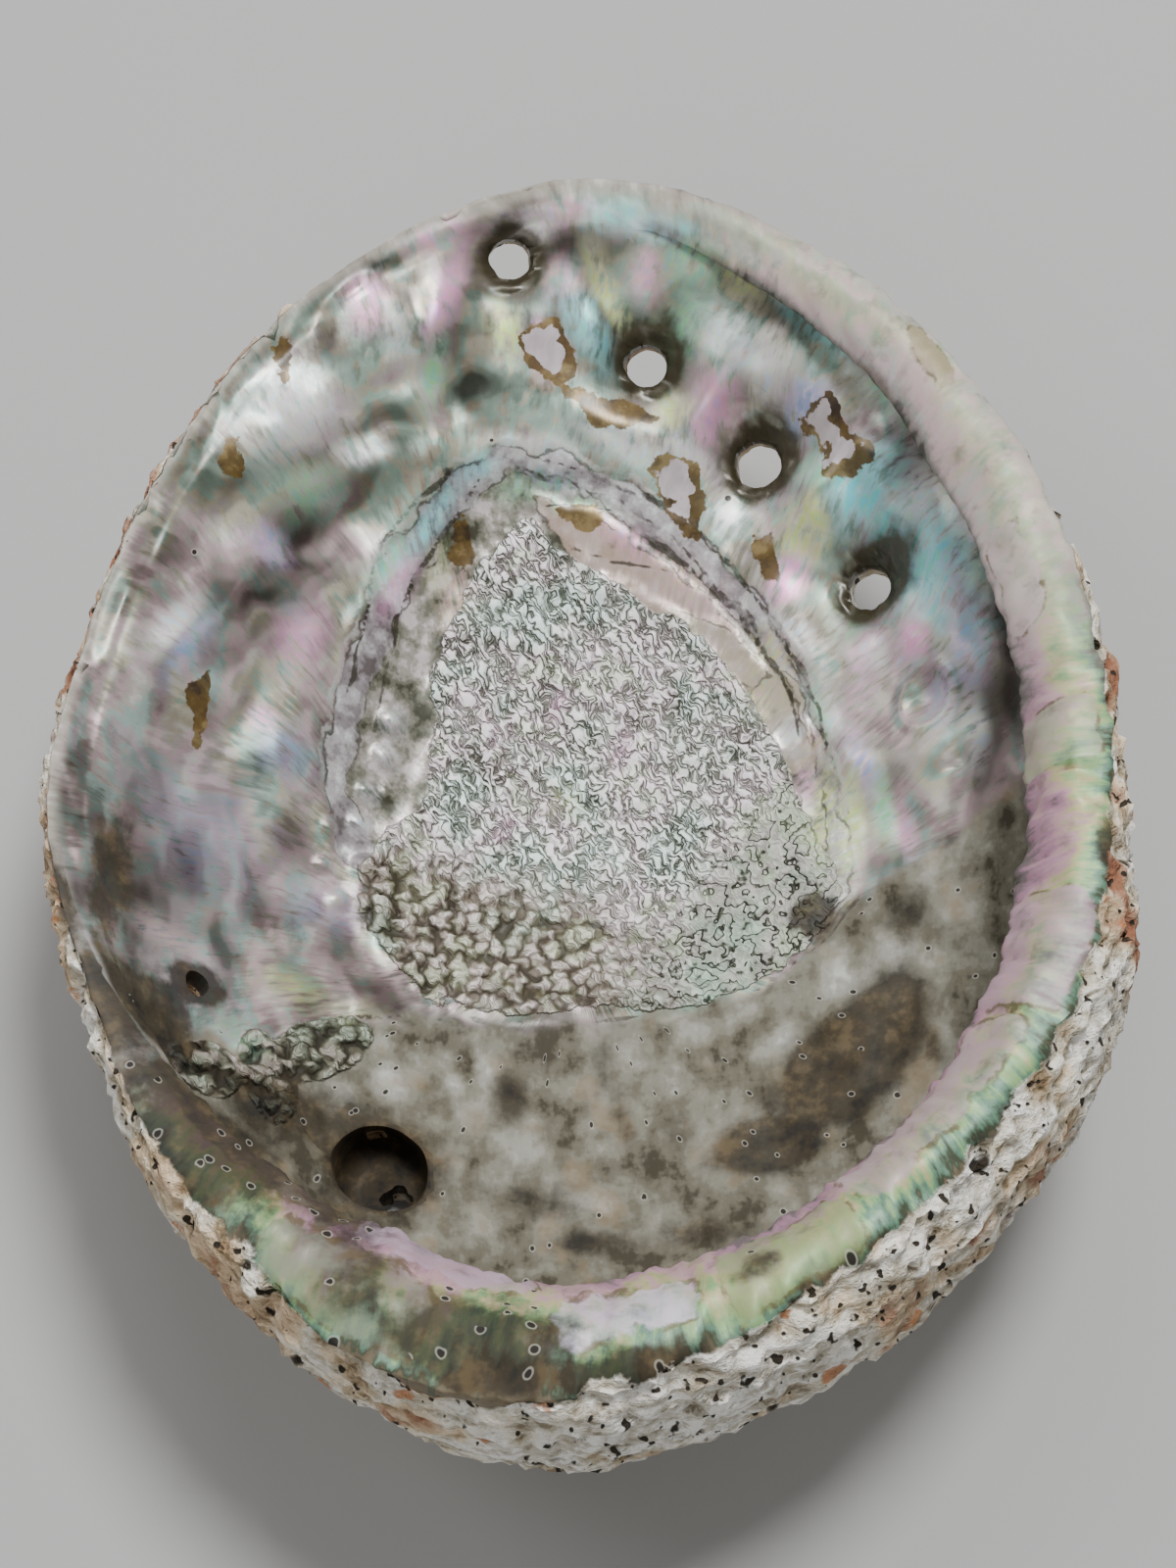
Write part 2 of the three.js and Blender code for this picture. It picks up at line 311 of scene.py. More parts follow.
def place_on_skin(points):
    """For any points on the wall: turn round the pole, and how far along the cross-section."""
    x, y, z = points.T
    turn = (np.arctan2(y - POLE[1], x - POLE[0]) / (2 * math.pi)) % 1
    reach = np.hypot(x - POLE[0], y - POLE[1])
    level = z + funnel_dip(x, y)
    along = np.zeros(len(x))
    steps = np.linspace(0, SECTION_END - 1e-6, 109)
    low = np.floor(steps).astype(int)
    part = (steps - low)[None, :, None]
    for start in range(0, len(x), 8000):
        block = slice(start, start + 8000)
        lines = section_points(turn[block])
        path = flow(*(lines[:, low + k] for k in range(4)), part)
        here = np.stack([reach[block], level[block]], -1)[:, None]
        step = np.diff(path, axis=1)
        share = ((here - path[:, :-1]) * step).sum(-1) / np.maximum((step**2).sum(-1), 1e-9)
        share = np.clip(share, 0, 1)
        gap = ((path[:, :-1] + step * share[..., None] - here) ** 2).sum(-1)
        near = gap.argmin(1)
        row = np.arange(len(near))
        along[block] = steps[near] + share[row, near] * (steps[1] - steps[0])
    return turn, along


# ---- Outlines and noise ----


def inside_outline(x, y, outline, closed=True):
    """Distance in mm to an outline: positive inside when it is closed, plain distance when open."""
    corners = np.array(outline, float)
    ends = np.roll(corners, -1, 0) if closed else corners[1:]
    starts = corners if closed else corners[:-1]
    best = np.full(len(x), 1e9)
    odd = np.zeros(len(x), bool)
    for (ax, ay), (bx, by) in zip(starts, ends):
        dx, dy = bx - ax, by - ay
        share = np.clip(((x - ax) * dx + (y - ay) * dy) / (dx * dx + dy * dy), 0, 1)
        best = np.minimum(best, (x - ax - share * dx) ** 2 + (y - ay - share * dy) ** 2)
        if ay != by:
            odd ^= ((ay > y) != (by > y)) & (x < ax + (y - ay) / (by - ay) * dx)
    gap = np.sqrt(best)
    return np.where(odd, gap, -gap) if closed else gap


def grain(points, size, octaves=1, shift=0.0):
    """Smooth noise of about -1 to 1 at each point; size is in mm, one number or one an axis."""
    scaled = points / np.asarray(size, float) + shift
    return np.array([noise.fractal(p, 0.7, 2.0, octaves) for p in scaled.tolist()])


def dab(x, y, spot_x, spot_y, wide, tall, tilt=0.0):
    """A soft round or oval dab, 1 in the middle."""
    turn = math.radians(tilt)
    across = (x - spot_x) * math.cos(turn) + (y - spot_y) * math.sin(turn)
    up = (y - spot_y) * math.cos(turn) - (x - spot_x) * math.sin(turn)
    return np.exp(-((across / wide) ** 2) - (up / tall) ** 2)


# ---- Relief ----


def bowl_relief(points):
    """Relief inside the bowl, in mm along the wall's normal."""
    x, y, _ = points.T
    wobble = grain(points, 5.0, 2, 3.0) * 1.3
    scar = ease(inside_outline(x, y, SCAR_OUTLINE) + wobble, -3.0, 2.0)
    nacre = 1 - ease(inside_outline(x, y, RIDGE_OUTLINE), -3, 1)
    upper = ease(y, -26, -16)

    # The layered ridge round the scar: each thin plate ends in a step.
    height = 0 * x
    for outline, drop in PLATES:
        height -= drop * ease(inside_outline(x, y, outline) + 0.7 * wobble, -0.7, 0.7)
    # Folds and waves of the nacre round the ridge.
    folds = grain(points, 19.0, 2, 8.0) * 1.8 + grain(points * (1, 0.6, 1), 7.5, 2, 1.0) * 0.25
    for fold_x, fold_y, wide, tall, tilt, rise in NACRE_FOLDS:
        folds = folds + 1.15 * rise * dab(x, y, fold_x, fold_y, wide, tall, tilt)
    height += nacre * upper * folds
    # Each breathing hole lies in its own soft dent, inside a crumbly rim.
    for hole_x, hole_y, bore, _, reach, _ in HOLES:
        gap = np.hypot(x - hole_x, y - hole_y)
        height -= 1.5 * np.exp(-((gap / (reach * 0.85)) ** 2))
        height += (0.5 + 0.9 * grain(points, 1.9, 2, hole_x)) * np.exp(-(((gap - bore * 0.62) / 0.9) ** 2))
    # The blister dome by the front edge, and its lower neighbour.
    for dome_x, dome_y, reach, rise in ((-34, 78, 8.8, 1.6), (-27, 65, 7.0, 1.0)):
        gap = np.hypot(x - dome_x, (y - dome_y) * 0.9) / reach + 0.08 * wobble
        height += 0.8 * rise * (1 - ease(gap, 0.5, 1.05))
    # The filled breathing hole and the small pit beside it.
    swirl = np.hypot((x - 53.5) * 1.15, y - 21.3)
    height += 0.7 * np.exp(-(((swirl - 4.2) / 1.0) ** 2)) - 0.9 * np.exp(-((swirl / 2.6) ** 2))
    height -= 2.0 * np.exp(-(((x - 58) ** 2 + (y - 9.7) ** 2) / 1.7**2))
    # Pearl beads beside the scar, and the translucent disc at its right.
    for bead_x, bead_y, size, rise in BEADS:
        gap = ((x - bead_x) ** 2 + (y - bead_y) ** 2) / size**2 + 0.12 * wobble
        height += 1.2 * rise * np.clip(1 - gap, 0, 1)
    disc = np.hypot(x - 33, y - 21)
    height += 0.4 * (1 - ease(disc, 2.7, 3.7)) + 0.35 * np.exp(-(((disc - 2.9) / 0.7) ** 2))

    # The muscle scar stands a little proud; its crumples and knobs come with the pattern relief.
    height += scar * (0.5 + 0.45 * grain(points, 6.0, 3, 11.0))
    # The crease under the scar, and the rugged ridge and crusts to its left.
    crease = inside_outline(x, y + 0.5 * wobble, CREASE, closed=False)
    height -= 0.35 * np.exp(-((crease / 1.1) ** 2)) * (1 - 0.4 * scar)
    height += rugged_patches(x, y) * (0.6 + 0.9 * grain(points, 3.2, 3, 6.0))
    sliver = inside_outline(x, y, ((-47, -44), (-42, -47), (-34, -56), (-37, -57), (-44, -51)))
    height += 0.9 * ease(sliver, -0.6, 0.6)
    # The lower wall is lumpy but worn smooth.
    height += (1 - upper) * (0.5 * grain(points, 9.0, 3, 7.0))
    return height


def rugged_patches(x, y):
    """The crumbly ridge and crusts at the lower left of the scar."""
    patches = np.maximum(dab(x, y, -39, -34, 11, 6, 40), dab(x, y, -54, -43, 6, 6))
    return ease(np.maximum(patches, dab(x, y, -46, -41, 5, 10, 20)), 0.35, 0.8)


def scar_mix(x, y):
    """How knobby (lower left) and how flaky (lower right) the scar is; its top is finely crumpled."""
    knobby = ease(-(y + 0.22 * x), -5, 12) * ease(-x, -22, 4)
    flaky = ease(x - 0.9 * y, 12, 26) * (1 - knobby)
    return knobby, flaky


def lip_relief(turn, along):
    """Cross wrinkles, dents and growth steps on the inner lip."""
    angle = 360 * turn
    thick = thick_side(angle)
    length = angle * 1.5
    ripple = grain(np.stack([length / 2.4 + along, along * 0.5, 0 * along], -1), 1.0, 2, 2.0)
    dents = grain(np.stack([length / 7.0, along * 0.9, 0 * along], -1), 1.0, 2, 9.0)
    slow = grain(np.stack([length / 16.0, along * 0.3, 0 * along], -1), 1.0, 1, 6.0)
    panels = 0 * angle
    for (start, end, inner, outer), _, step in LIP_PANELS:
        panels += step * ease(panel_gap(angle, along, start, end, inner, outer), -0.7, 0.7)
    thick = thick * (1 - 0.65 * ease(angle, 2, 34) * (angle < 200))
    thick_relief = 0.6 * ripple + 1.0 * dents + 0.9 * slow + panels
    thin_relief = 0.3 * slow + 0.12 * ripple
    return thick_relief * thick + thin_relief * (1 - thick)


def thick_side(angle):
    """1 along the thick inner lip at the right and rear, 0 along the thin edge at the left and front."""
    return np.clip(1 - ease(angle, 60, 92) + ease(angle, 205, 235), 0, 1)


def panel_gap(angle, along, start, end, inner, outer):
    """About how many mm inside a panel of the lip a place is; negative outside it."""
    middle, half = (start + end) / 2, (end - start) / 2
    sideways = (half - np.abs(angle - middle)) * 1.45
    across = ((outer - inner) / 2 - np.abs(along - (inner + outer) / 2)) * 5.0
    return np.minimum(np.minimum(sideways, across), (sideways + across) * 0.6 - 1.0)


def crust_relief(points):
    """The worn outside: growth waves about the spire, and lumps. Never outwards."""
    x, y, z = points.T
    from_spire = np.hypot(x - SPIRE[0], y - SPIRE[1]) + 3.0 * grain(points, 22.0, 2, 4.0)
    waves = np.sin(from_spire / 1.55) * 0.35 + np.sin(from_spire / 4.1 + 1) * 0.5
    # Thin layers along the rim, as height lines.
    layers = np.sin(z * 1.9 + 2.2 * grain(points, 14.0, 2, 9.0)) * ease(z, 22, 34) * 0.35
    lumps = grain(points, 8.0, 3, 12.0) * 0.9 + grain(points, 3.0, 3, 15.0) * 0.55
    return np.minimum(waves * 0.6 + layers + lumps - 0.7, 0.1)


# Where the nacre ends and the crust begins, as places along the cross-section: degrees, place.
CRUST_START = (
    (0, 10.0), (20, 10.1), (45, 10.4), (75, 10.5), (105, 10.0), (122, 9.15), (158, 9.1), (178, 9.5),
    (188, 9.6), (198, 9.3), (206, 9.6), (216, 9.9), (229, 9.7), (237, 9.8), (243, 9.9), (250, 10.4),
    (258, 11.2), (266, 10.7), (272, 9.9), (288, 10.0), (304, 9.9), (322, 9.8), (336, 9.8), (350, 9.9),
    (360, 10.0),
)


def crust_share(points, turn, along):
    """mm past the border of nacre and crust, along the cross-section; negative on the nacre."""
    places = np.array(CRUST_START)
    border = np.interp(360 * turn, places[:, 0], places[:, 1])
    return (along - border) * 4.2 + 1.1 * grain(points, 5.0, 2, 21.0)


# ---- Modelling helpers ----


def deselect_all():
    if bpy.context.object and bpy.context.object.mode != "OBJECT":
        bpy.ops.object.mode_set(mode="OBJECT")
    bpy.ops.object.select_all(action="DESELECT")


def read_vectors(mesh, what):
    """One vector for each vertex: its place, "co", or its "normal"."""
    flat = np.empty(len(mesh.vertices) * 3, np.float64)
    mesh.vertices.foreach_get(what, flat)
    return flat.reshape(-1, 3)


def write_points(mesh, points):
    mesh.vertices.foreach_set("co", points.astype(np.float32).ravel())
    mesh.update()


def finish_modifier(piece, modifier):
    bpy.context.view_layer.objects.active = piece
    bpy.ops.object.modifier_apply(modifier=modifier.name)


def grow_skin():
    """A subdivided cube, its points moved onto the shell's cross-sections."""
    deselect_all()
    bpy.ops.mesh.primitive_cube_add(size=2)
    shell = bpy.context.object
    shell.name = shell.data.name = "abalone_skin"
    bpy.ops.object.mode_set(mode="EDIT")
    bpy.ops.mesh.select_all(action="SELECT")
    bpy.ops.mesh.subdivide(number_cuts=4)
    bpy.ops.mesh.subdivide(number_cuts=24)
    bpy.ops.object.mode_set(mode="OBJECT")

    # Spread the grid evenly over a sphere: its height gives the place along a section, its side the turn.
    ball = np.tan(read_vectors(shell.data, "co") * math.pi / 4)
    ball /= np.linalg.norm(ball, axis=1)[:, None]
    turn = (np.arctan2(ball[:, 1], ball[:, 0]) / (2 * math.pi)) % 1
    down = np.arccos(np.clip(ball[:, 2], -1, 1)) / math.pi
    along = np.interp(down, (0, 0.56, 0.72, 1), (0, WALL_TOP, BACK_TOP, SECTION_END))
    write_points(shell.data, skin_points(turn, along) * MM)
    return shell, turn, along


def carve_relief(shell, turn, along):
    points = read_vectors(shell.data, "co") / MM
    normals = read_vectors(shell.data, "normal")
    on_edge = 2.0 * (1 - thick_side(360 * turn))
    bowl = 1 - ease(along, 5.2 + on_edge, 6.6 + on_edge)
    lip = ease(along, 6.2, 7.4) * (1 - ease(along, 10.2, 11.2))
    crust = ease(crust_share(points, turn, along), -0.8, 1.2) * ease(along, 8.5, 9.2)
    height = np.zeros(len(points))
    part = bowl > 0
    height[part] += bowl[part] * bowl_relief(points[part])
    part = lip > 0
    height[part] += lip[part] * lip_relief(turn[part], along[part]) * (1 - crust[part])
    part = crust > 0
    height[part] += crust[part] * crust_relief(points[part])
    # The patch that the shell rests on is worn flat.
    worn = ease(points[:, 2], 0.0, 2.5)
    height = np.where(along > BACK_TOP, height * worn, height)
    # The rim is broken into an uneven edge.
    edge = np.exp(-(((along - 10.8) / 1.3) ** 2))
    rag = np.minimum(grain(points * (1, 1, 0), 6.0, 3, 30.0) - 0.1, 0) * edge * (0.6 + 1.8 * crust)
    outward = points - np.array([POLE[0], POLE[1], 0])
    outward[:, 2] = 0
    outward /= np.maximum(np.linalg.norm(outward, axis=1)[:, None], 1e-6)
    points = points + normals * height[:, None] + outward * rag[:, None]
    write_points(shell.data, points * MM)

    # Where the scar's and the crust's patterns rise.
    x, y, _ = points.T
    knobby, flaky = scar_mix(x, y)
    store(shell.data, "knobby", knobby)
    store(shell.data, "flaky", flaky)
    wobble = grain(points, 5.0, 2, 3.0) * 1.3
    rough = ease(inside_outline(x, y, SCAR_OUTLINE) + wobble, -0.3, 1.0)
    rough = np.maximum(rough, 0.9 * rugged_patches(x, y)) * bowl
    store(shell.data, "scar_part", rough)
    store(shell.data, "crust_part", crust * np.where(along > BACK_TOP, worn, 1))
    emboss(shell)
    low, high = (np.array(corner) for corner in CAD_BOX)
    write_points(shell.data, np.clip(read_vectors(shell.data, "co"), low, high))


def scar_pattern(s, where, knobby, flaky):
    """The scar's surface, 0 in its gaps and 1 on its crests, for the relief and for the colour alike; in the
    colour the gaps carry painted shade and the crests painted highlights.
    """
    sway_x, sway_y, _ = s.three_noises(where, 420, 1, 0.5, "2D")
    sway = s.node("ShaderNodeCombineXYZ")
    s.feed(sway.inputs[0], sway_x)
    s.feed(sway.inputs[1], sway_y)
    flat, bent = (s.node("ShaderNodeVectorMath", operation="MULTIPLY_ADD") for _ in range(2))
    for moved, reach in ((flat, SCAR_SWAY), (bent, KNOB_SWAY)):
        s.feed(moved.inputs[0], sway.outputs[0])
        moved.inputs[1].default_value = (reach, reach, 0)
        s.feed(moved.inputs[2], where)
    flat, bent = flat.outputs[0], bent.outputs[0]
    worms = s.noise(s.squeeze(flat, (1, 0.42, 0), -38), 820, 2, 0.55, "2D")
    crumple = s.fit(s.size(s.minus(worms, 0.5)), -0.02, 0.13, smooth=False)
    knobs = s.fit(s.cells(bent, 470, "2D"), 0.16, 0.78, 1.0, 0.0)
    knobs = s.times(knobs, s.fit(crumple, 0.0, 1.0, 0.7, 1.0))
    slabs = s.noise(where, 150, 3, 0.62, "2D")
    torn = s.math("FRACT", s.times(slabs, 6.0))
    flakes = s.total((torn, 0.25), (s.fit(torn, 0.0, 0.30), 0.50), (crumple, 0.18), (-0.16, 1.0))
    return s.blend_value(flaky, s.blend_value(knobby, crumple, knobs), flakes)


def crust_pattern(s, where):
    """The crust's surface: lumps and layers (0 to 1), and pores and worm slots (0 to 1)."""
    layers = s.noise(s.squeeze(where, (1, 1, 2.4)), 250, 4, 0.68)
    slots = s.noise(s.squeeze(where, (1, 1, 0.55)), 620, 1, 0.4)
    caves = s.noise(where, 125, 1, 0.5)
    pores = s.most(s.fit(slots, 0.655, 0.70), s.fit(caves, 0.69, 0.73))
    return layers, pores


def emboss(shell):
    """Raises the scar's and the crust's patterns on the mesh itself with a geometry node modifier."""
    group = bpy.data.node_groups.new("relief", "GeometryNodeTree")
    group.interface.new_socket("Geometry", in_out="INPUT", socket_type="NodeSocketGeometry")
    group.interface.new_socket("Geometry", in_out="OUTPUT", socket_type="NodeSocketGeometry")
    s = Sketch(group)
    start, end = s.node("NodeGroupInput"), s.node("NodeGroupOutput")
    where = s.node("GeometryNodeInputPosition").outputs[0]
    crests = scar_pattern(s, where, s.mask("knobby"), s.mask("flaky"))
    scar_height = s.times(s.minus(crests, 0.5), s.times(s.mask("scar_part"), SCAR_RELIEF))
    layers, pores = crust_pattern(s, where)
    crust_height = s.times(s.minus(layers, CRUST_LEVEL), CRUST_RELIEF)
    crust_height = s.minus(crust_height, s.times(pores, PORE_DEPTH))
    height = s.plus(scar_height, s.times(crust_height, s.mask("crust_part")))
    push = s.node("ShaderNodeVectorMath", operation="SCALE")
    s.feed(push.inputs[0], s.node("GeometryNodeInputNormal").outputs[0])
    s.feed(push.inputs["Scale"], height)
    move = s.node("GeometryNodeSetPosition")
    s.feed(move.inputs["Geometry"], start.outputs[0])
    s.feed(move.inputs["Offset"], push.outputs[0])
    s.feed(end.inputs[0], move.outputs[0])
    modifier = shell.modifiers.new("relief", "NODES")
    modifier.node_group = group
    finish_modifier(shell, modifier)


def drill_cutter(x, y, z, bore, lean, flare=1.0, seed=0.0, rag=0.10):
    """A round cutter through the wall, leaning away from the pole, with an uneven side."""
    deselect_all()
    bpy.ops.mesh.primitive_cylinder_add(vertices=40, radius=bore / 2 * MM, depth=36 * MM)
    cutter = bpy.context.object
    bpy.ops.object.mode_set(mode="EDIT")
    bpy.ops.mesh.select_all(action="SELECT")
    bpy.ops.mesh.subdivide(number_cuts=2)
    bpy.ops.object.mode_set(mode="OBJECT")
    points = read_vectors(cutter.data, "co") / MM
    swell = 1 + rag * grain(points, bore * 0.35, 2, seed) + (flare - 1) * ease(points[:, 2], 0, 6)
    points[:, :2] *= swell[:, None]
    tilt = math.radians(lean)
    turned = np.stack([points[:, 0] * math.cos(tilt) - points[:, 2] * math.sin(tilt), points[:, 1],
                       points[:, 0] * math.sin(tilt) + points[:, 2] * math.cos(tilt)], -1)
    heading = math.atan2(y - POLE[1], x - POLE[0])
    placed = np.stack([x + turned[:, 0] * math.cos(heading) - turned[:, 1] * math.sin(heading),
                       y + turned[:, 0] * math.sin(heading) + turned[:, 1] * math.cos(heading),
                       z + turned[:, 2]], -1)
    write_points(cutter.data, placed * MM)
    return cutter


def pit_cutter():
    """The round hollow inside the spire, with a rounded floor."""
    deselect_all()
    bpy.ops.mesh.primitive_cylinder_add(
        vertices=64, radius=PIT_RADIUS * MM, depth=24 * MM,
        location=(SPIRE[0] * MM, SPIRE[1] * MM, (PIT_FLOOR + 12) * MM)
    )
    cutter = bpy.context.object
    bpy.ops.object.mode_set(mode="EDIT")
    bpy.ops.mesh.select_all(action="DESELECT")
    bpy.ops.mesh.select_mode(type="EDGE")
    bpy.ops.object.mode_set(mode="OBJECT")
    for edge in cutter.data.edges:
        edge.select = all(cutter.data.vertices[i].co.z < 0 for i in edge.vertices)
    bpy.ops.object.mode_set(mode="EDIT")
    bpy.ops.mesh.bevel(offset=3.5 * MM, segments=5)
    bpy.ops.object.mode_set(mode="OBJECT")
    bpy.ops.object.transform_apply(location=True, rotation=True, scale=True)
    points = read_vectors(cutter.data, "co") / MM
    away = points - (SPIRE[0], SPIRE[1], 0)
    away[:, 2] = 0
    write_points(cutter.data, (points + away * 0.08 * grain(points, (8, 8, 16), 2, 3.0)[:, None]) * MM)
    return cutter


def bowl_level(x, y):
    """Height of the bowl's surface at a place in plan."""
    turn = np.array([(math.atan2(y - POLE[1], x - POLE[0]) / (2 * math.pi)) % 1])
    reach = math.hypot(x - POLE[0], y - POLE[1])
    along = np.linspace(0, WALL_TOP, 121)
    path = skin_points(np.repeat(turn, 121), along)
    near = np.abs(np.hypot(path[:, 0] - POLE[0], path[:, 1] - POLE[1]) - reach).argmin()
    return path[near, 2]


def cut(shell, cutter):
    modifier = shell.modifiers.new("cut", "BOOLEAN")
    modifier.operation = "DIFFERENCE"
    modifier.solver = "MANIFOLD"
    modifier.object = cutter
    deselect_all()
    shell.select_set(True)
    finish_modifier(shell, modifier)
    bpy.data.objects.remove(cutter, do_unlink=True)


# ---- Masks that the material reads ----


def store(mesh, name, values):
    layer = mesh.attributes.get(name) or mesh.attributes.new(name, "FLOAT", "POINT")
    layer.data.foreach_set("value", np.asarray(values, np.float32))


def store_four(mesh, name, values):
    """Four values a point in one layer: a colour and an amount, or four masks."""
    layer = mesh.attributes.get(name) or mesh.attributes.new(name, "FLOAT_COLOR", "POINT")
    layer.data.foreach_set("color", np.column_stack(values).astype(np.float32).ravel())


PINK = (1.0, 0.36, 0.74)
ROSE = (0.72, 0.52, 0.54)
LAVENDER = (0.50, 0.40, 0.70)
CYAN = (0.16, 0.86, 0.90)
MINT = (0.24, 0.90, 0.52)
BLUE = (0.32, 0.50, 0.96)
GREEN = (0.24, 0.76, 0.40)
LIME = (0.66, 0.84, 0.24)
PEACH = (0.70, 0.50, 0.36)
TEAL = (0.05, 0.28, 0.26)
# Pale tint for the beads and the disc, and painted highlights on the nacre.
SILVER_TINT_AND_HIGHLIGHT = (0.80, 0.83, 0.85)
STRAW = (0.52, 0.50, 0.26)

